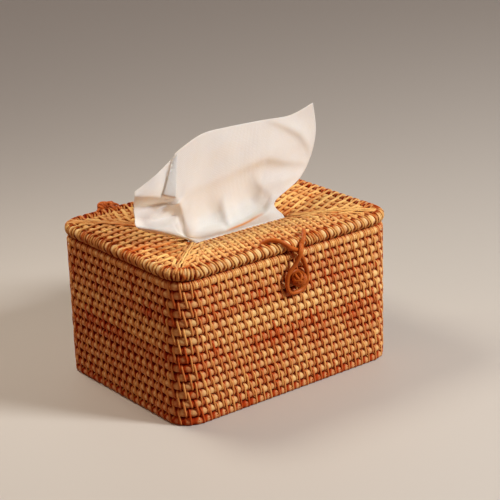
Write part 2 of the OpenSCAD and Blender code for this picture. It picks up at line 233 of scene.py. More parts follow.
def cane_material(name, light, dark, patches, *attributes):
    """Finish of one kind of cane; the values in its attributes come with the mesh."""
    material, t, shader = new_material(name)
    inputs = {"Light": light + (1,), "Dark": dark + (1,), "Deep": DEEP_SHADE_COLOUR, "Patches": patches}
    for label in attributes:
        inputs[label] = node(t, "ShaderNodeAttribute", attribute_name=label.lower()).outputs["Fac"]
    look = node(t, "ShaderNodeGroup", inputs, node_tree=cg).outputs
    bump = {"Strength": BUMP_STRENGTH, "Distance": BUMP_DEPTH, "Height": look["Height"]}
    for label, value in (("Base Color", look["Color"]), ("Roughness", look["Roughness"]),
                         ("Coat Weight", look["Varnish"]), ("Coat Roughness", COAT_ROUGHNESS),
                         ("Normal", node(t, "ShaderNodeBump", bump).outputs["Normal"]),
                         ("Specular IOR Level", CANE_SHINE)):
        put(t, shader.inputs[label], value)
    material.diffuse_color = tuple((a + b) / 2 for a, b in zip(light, dark)) + (1,)
    return material

cane = cane_material("core cane", (0.96, 0.66, 0.285), (0.50, 0.062, 0.004), 0.8, "Tone", "Valley", "Gap")
strip = cane_material("binding strip", (0.90, 0.49, 0.15), (0.52, 0.075, 0.006), 0.8, "Tone", "Gap")
lid_cane = cane_material("lid cane", (0.93, 0.60, 0.215), (0.48, 0.085, 0.007), 0.8, "Tone", "Valley", "Gap")
lid_strip = cane_material("lid strip", (0.93, 0.61, 0.215), (0.54, 0.13, 0.014), 0.8, "Tone", "Gap")
# The rim cane is paler and creamier than the lid cane: the cream stands in for highlights on the rim's
# kernels, as painted highlight.
rim_cane_painted_highlight = cane_material("rim cane with painted highlight", (0.96, 0.71, 0.34), (0.48, 0.085, 0.007), 0.6, "Tone", "Valley", "Gap")
cord = cane_material("orange cord", (0.58, 0.14, 0.017), (0.30, 0.055, 0.008), 1.1, "Tone")
print("cane finishes:", [m.name for m in (cane, strip, lid_cane, lid_strip, rim_cane_painted_highlight, cord)])

# %% [markdown]
# ## The path that every row follows
# Each row of cane is a rounded rectangle. One function walks along it: it turns
# a distance from the middle of the front into a place and the direction
# outwards. Everything that repeats along a row is laid out on it.

# %% Walk along a rounded rectangle
def walk(half_l, half_w, bend, distance):
    """Places and outward directions in plan, as two arrays of X and Y."""
    a, b, q = half_l - bend, half_w - bend, math.pi * bend / 2
    legs = ((a, 0), (q, 1), (2 * b, 0), (q, 1), (2 * a, 0), (q, 1), (2 * b, 0), (q, 1), (a, 0))
    s = np.mod(distance, sum(x for x, _ in legs))
    place, outward = np.zeros((len(s), 2)), np.zeros((len(s), 2))
    here, angle, start = np.array((0.0, -half_w)), 0.0, 0.0
    for length, turns in legs:
        inside = (s >= start) & (s <= start + length)
        t = s[inside] - start
        centre = here + bend * np.array((-math.sin(angle), math.cos(angle)))
        if turns:
            way = angle + t / bend
            out = np.stack((np.sin(way), -np.cos(way)), 1)
            place[inside] = centre + bend * out
            angle += math.pi / 2
            here = centre + bend * np.array((math.sin(angle), -math.cos(angle)))
        else:
            out = np.tile((math.sin(angle), -math.cos(angle)), (len(t), 1))
            place[inside] = here + t[:, None] * (math.cos(angle), math.sin(angle))
            here = here + length * np.array((math.cos(angle), math.sin(angle)))
        outward[inside] = out
        start += length
    return place, outward

# %% Sizes of the basket, as in the CAD model, and steps between its stitches, in millimetres
PITCH, CANE_R, ROW_1_Z, ROWS, LID_ROWS = 7.0, 3.2, 2.8, 16, 7
RIM_L, RIM_W, RIM_Z = 99.0, 75.0, 116.6
PANEL_INSET, PANEL_RISE, PANEL_DISH, TIGHTEST_BEND = 8.1, 0.3, 4.7, 3.9
LONG_STITCH, SHORT_STITCH = 7.0, 7.85
wall_ring, rim_ring = (99.3, 75.3, 16.3), (RIM_L, RIM_W, 16.0)

def row_z(row):
    return ROW_1_Z + (row - 1) * PITCH

def lid_inset(row):
    return PANEL_INSET + (row - 1) * PITCH

def lid_z(row):
    """Height of a row of the lid, which is dished towards the slot."""
    turn = math.radians(90 * (row - 1) / (LID_ROWS - 1))
    return RIM_Z + PANEL_RISE - PANEL_DISH * (1 - math.cos(turn))

def inner(ring, inset):
    """A ring moved inwards, with a bend that a cane can still follow."""
    return ring[0] - inset, ring[1] - inset, max(ring[2] - inset, TIGHTEST_BEND)

def spread(ring):
    """Counts of stitches, and distances, at the ends of each stretch. Long sides have closer stitches."""
    half_l, half_w, bend = ring
    a, b, q = half_l - bend, half_w - bend, math.pi * bend / 2
    lengths = np.array((a, q, 2 * b, q, 2 * a, q, 2 * b, q, a))
    each = LONG_STITCH + (SHORT_STITCH - LONG_STITCH) * np.array((0, 0.5, 1, 0.5, 0, 0.5, 1, 0.5, 0))
    counts = np.concatenate(([0], np.cumsum(lengths / each)))
    return counts * round(counts[-1]) / counts[-1], np.concatenate(([0], np.cumsum(lengths)))

def stitches_in(ring):
    return round(spread(ring)[0][-1])

print("stitches in a wall row:", stitches_in(wall_ring))

# %% Guide lines, which the node trees grow canes and stitches on
tones = np.random.default_rng(12)
ROW_SPREAD, KERNEL_SPREAD, MIDDLE_TONE = 0.2, 0.11, 0.82

def mesh_object(name, points, edges, faces):
    mesh = bpy.data.meshes.new(name)
    mesh.from_pydata(points, edges, faces)
    return in_scene(name, mesh)

def set_attribute(obj, label, values, kind="FLOAT", field="value"):
    """Stores values for each point of an object's mesh."""
    values = np.asarray(values, dtype=np.float32).ravel()
    obj.data.attributes.new(label, kind, "POINT").data.foreach_set(field, values)

def guide(name, lines, shades=None):
    """Mesh of closed lines; each is (places, ways out, shares of the way between stitches, slants)."""
    if shades is None:
        shades = [tones.uniform(-ROW_SPREAD, ROW_SPREAD) for _ in lines]
    points, edges = [], []
    values = {"faces_out": [], "share": [], "slant": [], "tone": []}
    for (places, outward, share, slant), shade in zip(lines, shades):
        first, n = len(points), len(places)
        points += [tuple(p) for p in places * MM]
        edges += [(first + i, first + (i + 1) % n) for i in range(n)]
        share, slant = (np.broadcast_to(np.asarray(v, dtype=np.float32), (n,)) for v in (share, slant))
        kernel = np.cumsum(np.abs(np.diff(share, prepend=0)) > 0.5)
        kernel_tones = tones.normal(0, KERNEL_SPREAD, int(kernel.max()) + 1) + shade
        for label, part in zip(values, (outward, share, slant, MIDDLE_TONE + kernel_tones[kernel])):
            values[label].append(part)
    obj = mesh_object(name, points, edges, [])
    for label, parts in values.items():
        kind = ("FLOAT_VECTOR", "vector") if label == "faces_out" else ("FLOAT", "value")
        set_attribute(obj, label, np.concatenate(parts), *kind)
    return obj

def facing(out, tilt):
    """Turns a sideways direction upwards: tilt 90 stays sideways, 0 points up."""
    t = math.radians(tilt)
    return np.column_stack((out * math.sin(t), np.full(len(out), math.cos(t))))

def cane_line(ring, z, start, tilt=90.0, steps=8):
    """Fine guide line for a cane, with a number of steps for each stitch round it."""
    ends, distances = spread(ring)
    n = stitches_in(ring) * steps
    counts = np.mod(start / LONG_STITCH + np.arange(n) / steps, ends[-1])
    place, out = walk(*ring, np.interp(counts, ends, distances))
    return np.column_stack((place, np.full(n, z))), facing(out, tilt), np.arange(n) % steps / steps, 0.0

def stitch_line(ring, z, start, tilt=90.0):
    """Guide line with one point for each stitch."""
    return cane_line(ring, z, start, tilt, steps=1)

# %% [markdown]
# ## Growing a row of cane
# A stitched cane isn't an even rod. It is soaked when it is bound, so each
# stitch presses it in and it swells in between, like a row of kernels. The tree
# below sets the curve's radius from the place within each stitch and sweeps a
# circle along it. It also stores two masks for painted shade: how deep a point
# lies in a stitch's valley, and how far it turns into the gap between two rows.

# %% Helpers for node trees
def new_tree(name, sockets):
    """Tree with its inputs as (label, kind, value); returns it and the outputs of its input node."""
    tree = bpy.data.node_groups.new(name, "GeometryNodeTree")
    tree.interface.new_socket("Geometry", in_out="INPUT", socket_type="NodeSocketGeometry")
    for label, kind, value in sockets:
        s = tree.interface.new_socket(label, in_out="INPUT", socket_type="NodeSocket" + kind)
        if value is not None:
            s.default_value = value
    tree.interface.new_socket("Geometry", in_out="OUTPUT", socket_type="NodeSocketGeometry")
    return tree, node(tree, "NodeGroupInput").outputs

def named(tree, name, kind="FLOAT"):
    """Reads a value that the guide line carries."""
    return node(tree, "GeometryNodeInputNamedAttribute", {"Name": name}, data_type=kind).outputs[0]

def store(tree, source, name, value, domain="POINT"):
    values = {"Geometry": source, "Name": name, "Value": value}
    return node(tree, "GeometryNodeStoreNamedAttribute", values, data_type="FLOAT", domain=domain).outputs[0]

def finish_tree(tree, geometry, material):
    """Real geometry, shaded smooth, with the tree's material."""
    for kind in ("RealizeInstances", "SetShadeSmooth"):
        geometry = node(tree, "GeometryNode" + kind, {0: geometry}).outputs[0]
    painted = node(tree, "GeometryNodeSetMaterial", {"Geometry": geometry, "Material": material})
    node(tree, "NodeGroupOutput", {"Geometry": painted.outputs[0]})

# %% Tree for swelling canes
rt, given = new_tree("swelling cane", (
    ("Radius", "Float", 0.0032), ("Waist", "Float", 0.85), ("Swelling", "Float", 0.35),
    ("Narrowed", "Float", 0.8), ("Sides", "Int", 12), ("Material", "Material", None)))
curve = node(rt, "GeometryNodeMeshToCurve", {"Mesh": given["Geometry"]}).outputs[0]
off_middle = calc(rt, "ABSOLUTE", calc(rt, "SUBTRACT", named(rt, "share"), 0.5))
from_middle = calc(rt, "MULTIPLY", off_middle, 2)
swell = map_range(rt, from_middle, given["Swelling"], given["Narrowed"], 1, 0, "SMOOTHSTEP")
grown = calc(rt, "MULTIPLY", swell, calc(rt, "SUBTRACT", 1, given["Waist"]))
# Valley mask, for painted shade beside the stitches.
curve = store(rt, curve, "valley", map_range(rt, from_middle, 0.1, 0.8, 0, 1))
round_cane = {"Resolution": given["Sides"], "Radius": given["Radius"]}
sweep = node(rt, "GeometryNodeCurveToMesh", {
    "Curve": curve,
    "Profile Curve": node(rt, "GeometryNodeCurvePrimitiveCircle", round_cane).outputs["Curve"],
    "Scale": calc(rt, "ADD", given["Waist"], grown)})
normal = node(rt, "GeometryNodeInputNormal").outputs[0]
turned = node(rt, "ShaderNodeVectorMath", {0: normal, 1: named(rt, "faces_out", "FLOAT_VECTOR")},
              operation="DOT_PRODUCT").outputs["Value"]
# Gap mask, for painted shade where the cane turns towards the next row.
gap = map_range(rt, calc(rt, "ABSOLUTE", turned), 0.25, 0.95, 1, 0)
finish_tree(rt, store(rt, sweep.outputs[0], "gap", gap), given["Material"])
print("tree for canes:", len(rt.nodes), "nodes")

# %% Run a tree, and put a piece on its body
def grow(name, line, tree, **values):
    """Runs a node tree on a guide line and keeps the result as a plain mesh."""
    mod = line.modifiers.new("grow", "NODES")
    mod.node_group = tree
    for item in tree.interface.items_tree:
        if item.in_out == "INPUT" and item.name.lower() in values:
            mod[item.identifier] = values[item.name.lower()]
    depsgraph = bpy.context.evaluated_depsgraph_get()
    evaluated = line.evaluated_get(depsgraph)
    mesh = bpy.data.meshes.new_from_object(evaluated, preserve_all_data_layers=True, depsgraph=depsgraph)
    mesh.name = name
    line.modifiers.remove(mod)
    bpy.data.objects.remove(line)
    print(name, len(mesh.polygons), "faces")
    return in_scene(name, mesh)

def add(obj, body, slot, *nodes):
    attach(obj, body)
    if nodes:
        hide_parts(*nodes)
    return obj

def keep_above(obj, floor):
    """Presses a mesh flat where it would pass below a height."""
    co = np.empty(len(obj.data.vertices) * 3)
    obj.data.vertices.foreach_get("co", co)
    co[2::3] = np.maximum(co[2::3], floor * MM)
    obj.data.vertices.foreach_set("co", co)

# %% [markdown]
# ## The wall's rows
# Going down the wall, each pair's stitches start to the right of those above,
# which gives the slanting columns of kernels. A small seeded shift keeps the
# columns from looking machine-made. Each row is another length of cane, and the
# photograph shows bands of paler and darker ones.

# %% Grow the wall's canes
rng = np.random.default_rng(7)
SLANT, BESIDE = 9.0, 2.1
LEAN = PITCH * math.tan(math.radians(SLANT)) / 2
STEP_DOWN = 2 * LEAN + BESIDE
PALE_ROWS, DARK_ROWS, BAND_SHADE, ROW_SHADE = (9, 10, 11, 16), (1, 7, 8, 12), 0.2, 0.06
pair_start = [(ROWS - pair) * STEP_DOWN + rng.uniform(-0.5, 0.5) for pair in range(ROWS)]

def row_start(row):
    """Where a row's valleys start, between the strips that cross it."""
    if row == ROWS:
        return pair_start[ROWS - 1] - LEAN + BESIDE / 2
    return pair_start[row] + LEAN + BESIDE / 2

def row_shade(row):
    return tones.uniform(-ROW_SHADE, ROW_SHADE) + BAND_SHADE * ((row in PALE_ROWS) - (row in DARK_ROWS))

for label, rows in (("low", range(1, 9)), ("high", range(9, ROWS + 1))):
    lines = [cane_line(wall_ring, row_z(r), row_start(r)) for r in rows]
    line = guide("wall guide", lines, [row_shade(r) for r in rows])
    canes = grow(f"wall_canes_{label}", line, rt, radius=3.45 * MM, waist=0.89, swelling=0.35, narrowed=0.9,
                 sides=12, material=cane)
    keep_above(canes, 0)
    add(canes, "basket", "wall_rattan",
        *["basket_rim_coil" if r == ROWS else f"wall_coil_{r:02d}" for r in rows])

# %% [markdown]
# ## Stitches
# A stitch is a loop of split cane round two canes. One loop is modelled as a
# closed band that follows the outline of the two canes, and a second tree sets
# a copy at each point of a guide line, faces it outwards, slants it, and turns,
# shifts and widens it a little, with a fixed seed, as a hand would.

# %% One stitch
ROUNDED = ((-0.5, 0.0), (-0.44, 0.6), (-0.18, 1.0), (0.18, 1.0), (0.44, 0.6), (0.5, 0.0))
TURN_BACK, FLAT_EDGE = 1.92, 0.3
# Painted shade on the strips: darker where they turn into the gap between two rows, and along their edges.
GAP_FROM, GAP_OVER, EDGE_GAP = 0.85, 0.7, 0.45

def tube_faces(first, rings, sides, closed):
    """Faces between rings of points, one ring after another from a first point."""
    return [(first + i * sides + k, first + i * sides + (k + 1) % sides,
             first + (i + 1) % rings * sides + (k + 1) % sides, first + (i + 1) % rings * sides + k)
            for i in range(rings if closed else rings - 1) for k in range(sides)]

def band(name, first_r, second=(0.0, 0.0), second_r=0.0, width=1.8, thick=0.55, slant=0.0, around=16,
         flat_at=None, hang_from=None, face_lean=0.0):
    """Closed band round one or two canes, in millimetres: X along the row, Y across it, Z outwards.

    Past hang_from it stops slanting, and face_lean tips it over as it goes down the face. The lean is
    taken back from TURN_BACK on, an angle in radians from the top."""
    points, gaps = [], []
    for i in range(around):
        a = 2 * math.pi * (i + 0.5) / around
        n = (math.cos(a), math.sin(a))
        far = second[0] * n[0] + second[1] * n[1] + second_r
        centre, r = ((0.0, 0.0), first_r) if first_r >= far else (second, second_r)
        bare = abs(n[1]) if hang_from is None else max(abs(n[1]), -n[0])
        drop = math.atan2(-n[0], n[1]) if n[0] < 0 else 0.0
        drop = min(drop, TURN_BACK * (math.pi - drop) / (math.pi - TURN_BACK))
        for across, up in ROUNDED:
            y, z = (centre[k] + (r + up * thick) * n[k] - second[k] / 2 for k in range(2))
            if flat_at is not None:
                z = min(z, flat_at - (1 - up) * FLAT_EDGE)
            run = y if hang_from is None else max(y, hang_from)
            x = across * width - math.tan(math.radians(slant)) * run + face_lean * r * drop
            points.append((x * MM, y * MM, z * MM))
            # Painted shade: the strip's gap mask, dark where it faces the next row and at its edges.
            gaps.append(min(1.0, max(0.0, (GAP_FROM - bare) / GAP_OVER)) + EDGE_GAP * (1 - up))
    obj = mesh_object(name, points, [], tube_faces(0, around, len(ROUNDED), True))
    set_attribute(obj, "gap", gaps)
    return obj

# %% Tree for stitches
st, given = new_tree("stitches on a row", (
    ("Stitch", "Object", None), ("Turn", "Float", 3.0), ("Shift", "Float", 0.3), ("Kept", "Float", 1.0),
    ("Lengthen", "Float", 0.0), ("Seed", "Int", 1), ("Material", "Material", None)))

def chance(low, high, seed_shift):
    """A random value for each stitch."""
    seed = calc(st, "ADD", given["Seed"], seed_shift)
    return node(st, "FunctionNodeRandomValue", {2: low, 3: high, "Seed": seed}, data_type="FLOAT").outputs[1]

def swing(label, seed_shift):
    """A random value that goes as far either way as an input says."""
    return chance(calc(st, "MULTIPLY", given[label], -1), given[label], seed_shift)

curve = node(st, "GeometryNodeMeshToCurve", {"Mesh": given["Geometry"]}).outputs[0]
tangent, slanted = node(st, "GeometryNodeInputTangent").outputs[0], named(st, "slant")
aim = node(st, "FunctionNodeAxesToRotation", {0: named(st, "faces_out", "FLOAT_VECTOR"), 1: tangent},
           primary_axis="Z", secondary_axis="X").outputs[0]
turned = calc(st, "RADIANS", calc(st, "ADD", swing("Turn", 11), slanted))
twist = node(st, "ShaderNodeCombineXYZ", {"Z": turned}).outputs[0]
twist = node(st, "FunctionNodeEulerToRotation", {0: twist}).outputs[0]
aim = node(st, "FunctionNodeRotateRotation", {0: aim, 1: twist}, rotation_space="LOCAL").outputs[0]
slide = node(st, "ShaderNodeVectorMath", {0: tangent, "Scale": calc(st, "MULTIPLY", swing("Shift", 23), MM)},
             operation="SCALE").outputs[0]
longer = calc(st, "SUBTRACT", calc(st, "DIVIDE", 1, calc(st, "COSINE", calc(st, "RADIANS", slanted))), 1)
length = calc(st, "ADD", 1, calc(st, "MULTIPLY", given["Lengthen"], longer))
copies = node(st, "GeometryNodeInstanceOnPoints", {
    "Points": node(st, "GeometryNodeSetPosition", {"Geometry": curve, "Offset": slide}).outputs[0],
    "Instance": node(st, "GeometryNodeObjectInfo",
                     {"Object": given["Stitch"], "As Instance": True}).outputs["Geometry"],
    "Selection": calc(st, "LESS_THAN", chance(0.0, 1.0, 37), given["Kept"]),
    "Rotation": aim,
    "Scale": node(st, "ShaderNodeCombineXYZ", {0: chance(0.82, 1.18, 41), 1: length, 2: 1}).outputs[0]})
stitch_tone = calc(st, "ADD", chance(-0.55, 0.2, 53), named(st, "tone"))
finish_tree(st, store(st, copies.outputs[0], "tone", stitch_tone, "INSTANCE"), given["Material"])
print("tree for stitches:", len(st.nodes), "nodes")

# %% Stitch the wall
HOLD, WRAP_SHADE = 2.95, 0.15
wall_band = band("wall stitch", HOLD, (PITCH, 0), HOLD, width=1.75, thick=0.82, slant=SLANT)
for label, pairs, seed in (("low", range(1, 9), 6), ("high", range(9, ROWS), 7)):
    line = guide("stitch guide", [stitch_line(wall_ring, row_z(p) + PITCH / 2, pair_start[p]) for p in pairs],
                 [row_shade(p) + row_shade(p + 1) / 2 for p in pairs])
    piece = grow(f"wall_stitches_{label}", line, st, stitch=wall_band, turn=4.0, shift=0.45, seed=seed,
                 material=strip)
    keep_above(piece, 0)
    add(piece, "basket", "wall_rattan")
one_band = band("single wrap", HOLD, width=1.4, thick=0.7, slant=6, around=12)
for number, (offset, kept) in enumerate(((1.75, 1.0), (3.4, 0.75), (5.1, 0.6))):
    start = pair_start[ROWS - 1] - LEAN + offset
    line = guide("rim wrap guide", [stitch_line(wall_ring, row_z(ROWS), start)], [WRAP_SHADE])
    piece = grow(f"rim_wraps_{number + 1}", line, st, stitch=one_band, turn=4.0, shift=0.25, kept=kept,
                 seed=70 + number, material=strip)
    add(piece, "basket", "wall_rattan")

# %% [markdown]
# ## The lid
# The lid is coiled flat round the slot, from a thick bound rim inwards. Its
# stitches face up. The maker turned the work at each corner, so the strips on
# the long sides lean one way and those on the short sides the other, and near
# the corners they fan out towards the mitre. Each side is laid out from its own
# middle, so that the strips of one row run on into the next as long lines.

# %% Lay out the lid's four sides
SIDE_LEAN, SIDE_PITCH, STEP_MORE = (15.5, -13.0), (6.9, 8.2), 0.7
FAN, FAN_SLANT, SPARE = (24.0, 12.0), 42, 2.0

def side_step(side):
    """How far a side's strips shift from one row to the next inner one, along the way round."""
    t = math.tan(math.radians(SIDE_LEAN[side % 2]))
    return PITCH * t + math.copysign(STEP_MORE, t)

def half_side(ring, side):
    """Half the straight part of a side, and the same up to the middle of its corners."""
    straight = ring[side % 2] - ring[2]
    return straight, straight + math.pi * ring[2] / 4

def quarter(ring):
    """The way from the middle of one side to the middle of the next."""
    return ring[0] - ring[2] + ring[1] - ring[2] + math.pi * ring[2] / 2

def lid_cane_line(row, inset, z, tilt, shift):
    """Fine guide line for a lid cane, with its valleys under the strips of each side."""
    ring = inner(rim_ring, inset)
    n = int(4 * quarter(ring))
    s = 4 * quarter(ring) * np.arange(n) / n
    place, out = walk(*ring, s)
    bounds = np.cumsum([0] + [2 * half_side(ring, k)[1] for k in range(4)]) - half_side(ring, 0)[1]
    s = np.where(s > bounds[4], s - 4 * quarter(ring), s)
    share = np.zeros(n)
    for side in range(4):
        inside = (s >= bounds[side]) & (s <= bounds[side + 1])
        u = s[inside] - side * quarter(ring)
        share[inside] = np.mod((u - (row - 0.5) * side_step(side) - shift) / SIDE_PITCH[side % 2], 1)
    return np.column_stack((place, np.full(n, z))), facing(out, tilt), share, 0.0

def lid_stitch_lines(row, inset, z, tilt, sides=range(4), fan=True):
    """Guide points for the strips of one pair of rows, side by side."""
    ring = inner(rim_ring, inset)
    places, ways, slants = [], [], []
    for side in sides:
        reach, width, pitch = half_side(ring, side)[1], FAN[side % 2], SIDE_PITCH[side % 2]
        phase, limit = row * side_step(side), reach - SPARE
        low, high = math.ceil((-limit - phase) / pitch), math.floor((limit - phase) / pitch)
        u = phase + pitch * np.arange(low, high + 1)
        w = np.clip((np.abs(u) - (reach - width)) / width, 0, 1)
        w = w * w * (3 - 2 * w)
        place, out = walk(*ring, side * quarter(ring) + u)
        places.append(np.column_stack((place, np.full(len(u), z))))
        ways.append(facing(out, tilt))
        fanned = -SIDE_LEAN[side % 2] * (1 - w) + FAN_SLANT * np.sign(u) * w
        slants.append(fanned if fan else np.zeros(len(u)))
    return np.concatenate(places), np.concatenate(ways), 0.0, np.concatenate(slants)

def lid_strips(name, line, stitch, seed, **values):
    """Grows strips on a guide line and puts them on the lid."""
    strips = grow(name, line, st, stitch=stitch, seed=seed, material=lid_strip, **values)
    return add(strips, "lid", "lid_rattan")

print("lid strips move on, mm a row:", [round(side_step(side), 2) for side in range(2)])

# %% Lid canes
RIM_TILT, RIM_SHIFT, RIM_SHADE, PANEL_SHIFT = 50.0, 2.6, 0.2, 0.5
line = guide("rim guide", [lid_cane_line(0.5, 0.0, RIM_Z, RIM_TILT, RIM_SHIFT)], [RIM_SHADE])
add(grow("lid_rim_cane", line, rt, radius=4.35 * MM, waist=0.88, swelling=0.15, narrowed=0.5, sides=18,
         material=rim_cane_painted_highlight), "lid", "lid_rattan", "lid_rim_coil")
lines = [lid_cane_line(j, lid_inset(j), lid_z(j), 0.0, PANEL_SHIFT) for j in range(1, LID_ROWS + 1)]
add(grow("lid_canes", guide("lid guide", lines), rt, radius=3.55 * MM, waist=0.89, swelling=0.3,
         narrowed=0.85, sides=12, material=lid_cane),
    "lid", "lid_rattan", *[f"lid_coil_{j}" for j in range(1, LID_ROWS)], "slot_edge_coil")

# %% Lid stitches
EVERY_OTHER = 0.12
for j in range(1, LID_ROWS):
    rise = lid_z(j + 1) - lid_z(j)
    hold = HOLD + EVERY_OTHER * (j % 2)
    lid_band = band(f"lid stitch {j}", hold, (math.hypot(PITCH, rise), 0), hold, width=2.7, thick=1.0)
    inset, z = (lid_inset(j) + lid_inset(j + 1)) / 2, (lid_z(j) + lid_z(j + 1)) / 2
    line = guide("lid stitch guide", [lid_stitch_lines(j, inset, z, math.degrees(math.atan2(rise, PITCH)))])
    lid_strips(f"lid_stitches_{j}", line, lid_band, 100 + j, turn=5.5, shift=0.55, lengthen=1.0)

# %% [markdown]
# ## Over the rim
# A last set of stitches ties the panel to the rim. They run on over the rim and
# down its face, and turns of strip round the rim alone fill up between them. On
# the front and the back they lean as they go down the face, as the photograph
# shows. Underneath, the lean is taken back, so that each band still closes.

# %% Rim stitches, which run from the panel over the rim and down its face
RIM_HOLD, RIM_LEAN = 4.1, (24.0, 0.0)
for label, sides, seed in (("long", (0, 2), 204), ("short", (1, 3), 205)):
    k = sides[0]
    rim_band = band(f"rim stitch {label}", RIM_HOLD, (PANEL_INSET, PANEL_RISE), HOLD, width=2.1, thick=0.88,
                    slant=-SIDE_LEAN[k], around=20, hang_from=-PANEL_INSET / 2,
                    face_lean=math.tan(math.radians(RIM_LEAN[k])))
    line = guide("rim stitch guide",
                 [lid_stitch_lines(0, PANEL_INSET / 2, RIM_Z + PANEL_RISE / 2, 0.0, sides, fan=False)])
    lid_strips(f"rim_stitches_{label}", line, rim_band, seed, turn=2.0, shift=0.25)

# %% Turns round the rim, beside its stitches, between them and at the corners
TURNS_OFF, MOST_TURNS = (("beside", 2.2), ("between", -2.1)), 20
CORNER_PITCH, CORNER_START, CORNER_END = 2.7, 1.6, 0.5
rim_wrap = band("rim wrap", RIM_HOLD, width=1.7, thick=0.85, around=18)
turns = {"beside": [], "between": [], "corner": []}
for side in range(4):
    straight, reach = half_side(rim_ring, side)
    at, lean = side * quarter(rim_ring), RIM_LEAN[side % 2]
    u = SIDE_PITCH[side % 2] * np.arange(-MOST_TURNS, MOST_TURNS + 1)
    u -= PANEL_INSET / 2 * math.tan(math.radians(SIDE_LEAN[side % 2]))
    u += math.tan(math.radians(lean)) * RIM_HOLD * math.pi / 2
    for label, off in TURNS_OFF:
        turns[label] += [(at + v + off, lean) for v in u if abs(v + off) < straight]
    corner = np.arange(straight + CORNER_START, 2 * reach - straight - CORNER_END, CORNER_PITCH)
    turns["corner"] += [(at + v, 0.0) for v in corner]
for label, kept, seed in (("beside", 1.0, 210), ("between", 0.3, 211), ("corner", 1.0, 212)):
    distances, leans = np.array(turns[label]).T
    place, out = walk(*rim_ring, distances)
    place = np.column_stack((place, np.full(len(place), RIM_Z)))
    line = guide("rim wrap guide", [(place, facing(out, 90.0), 0.0, leans)])
    lid_strips(f"rim_turns_{label}", line, rim_wrap, seed, turn=3.0, shift=0.2, kept=kept, lengthen=1.0)

# %% Turns round the row at the slot's edge
edge_wrap = band("slot wrap", HOLD, width=1.9, thick=0.8, slant=8, around=12)
slot_ring = inner(rim_ring, lid_inset(LID_ROWS))
for number, offset in enumerate((1.9, 3.9, 5.8)):
    line = guide("slot wrap guide", [stitch_line(slot_ring, lid_z(LID_ROWS), offset)])
    lid_strips(f"slot_wraps_{number + 1}", line, edge_wrap, 220 + number, turn=4.0, shift=0.25)

# %% [markdown]
# ## Base
# The base is coiled in the same way, and pressed flat where it stands.

# %% Base canes and stitches
BASE_ROWS, BASE_PITCH, BASE_STEP, BASE_CLEAR = 10, 6.84, 2.1, 0.3
lines = [cane_line(inner(wall_ring, n * BASE_PITCH), row_z(1), BASE_STEP * n, 0.0, steps=6)
         for n in range(1, BASE_ROWS + 1)]
base = grow("base_canes", guide("base guide", lines), rt, radius=3.3 * MM, waist=0.88, swelling=0.35,
            sides=10, material=cane)
keep_above(base, BASE_CLEAR)
add(base, "basket", "base_rattan", *[f"base_coil_{n:02d}" for n in range(1, BASE_ROWS + 1)])
base_band = band("base stitch", HOLD, (BASE_PITCH, 0), HOLD, width=1.9, slant=14, around=12, flat_at=row_z(1))
lines = [stitch_line(inner(wall_ring, (n + 0.5) * BASE_PITCH), row_z(1), BASE_STEP * n, 180.0)
         for n in range(BASE_ROWS)]
add(grow("base_stitches", guide("base stitch guide", lines), st, stitch=base_band, turn=3.0, shift=0.3,
         seed=300, material=strip), "basket", "base_rattan")
frame["nodes"]["base_centre_cane"].data.materials.clear()
frame["nodes"]["base_centre_cane"].data.materials.append(cane)

# %% Clear away the single loops that the tree copied
for name in [o.name for o in bpy.data.objects if " stitch" in o.name or " wrap" in o.name]:
    bpy.data.objects.remove(bpy.data.objects[name])

# %% [markdown]
# ## Strands
# The lashings over the mitres, the hinge ties, the loop and the knot are single
# strands that follow a free path. A strand is swept by hand, with a frame that
# is carried along the path without twisting, so that a flat strand stays flat.

# %% Sweep a strand
TAPER = (0.35, 0.75, 0.95)

def smooth_path(points, steps, closed=False):
    """Smooth curve through points."""
    p = np.array(points, dtype=float)
    n = len(p)
    out = []
    for i in range(n if closed else n - 1):
        if closed:
            a, b, c, d = p[i - 1], p[i], p[(i + 1) % n], p[(i + 2) % n]
        else:
            a, b, c, d = p[max(i - 1, 0)], p[i], p[i + 1], p[min(i + 2, n - 1)]
        for t in np.arange(steps) / steps:
            bend = (2 * a - 5 * b + 4 * c - d) * t * t / 2 + (3 * b - a - 3 * c + d) * t ** 3 / 2
            out.append(b + (c - a) * t / 2 + bend)
    return np.array(out if closed else out + [p[-1]])

def smooth_mesh(name, points, faces, material):
    """Object with a smooth mesh in one material."""
    obj = mesh_object(name, points, [], faces)
    obj.data.materials.append(material)
    obj.data.polygons.foreach_set("use_smooth", np.ones(len(faces), dtype=bool))
    return obj

def strand(name, paths, width, thick, material, up=(0, 0, 1), sides=10, closed=False, tones=(0.6,),
           taper=False):
    """One mesh of swept strands, each an oval of a width and a thickness in millimetres."""
    points, faces, tone = [], [], []
    for number, path in enumerate(paths):
        n, first = len(path), len(points)
        ahead = np.roll(path, -1, 0) - np.roll(path, 1, 0)
        if not closed:
            ahead[0], ahead[-1] = path[1] - path[0], path[-1] - path[-2]
        ahead /= np.linalg.norm(ahead, axis=1)[:, None]
        level = np.array(up, dtype=float)
        for i in range(n):
            level = level - ahead[i] * np.dot(level, ahead[i])
            level /= np.linalg.norm(level)
            across = np.cross(ahead[i], level)
            near_end = min(i, n - 1 - i)
            scale = TAPER[near_end] if taper and near_end < len(TAPER) else 1.0
            for a in 2 * math.pi * np.arange(sides) / sides:
                oval = across * math.cos(a) * width / 2 + level * math.sin(a) * thick / 2
                points.append(tuple((path[i] + scale * oval) * MM))
        tone += [tones[number % len(tones)]] * (n * sides)
        faces += tube_faces(first, n, sides, closed)
        if not closed:
            faces.append(tuple(first + k for k in range(sides))[::-1])
            faces.append(tuple(first + (n - 1) * sides + k for k in range(sides)))
    obj = smooth_mesh(name, points, faces, material)
    set_attribute(obj, "tone", tone)
    print(name, len(faces), "faces")
    return obj

# %% [markdown]
# ## Lashings along the mitres
# Where two sides of the lid meet, thin strips of split cane run along the
# mitre, from the top of the rim inwards to the slot. They dip between the rows,
# wander a little and tuck in at both ends.

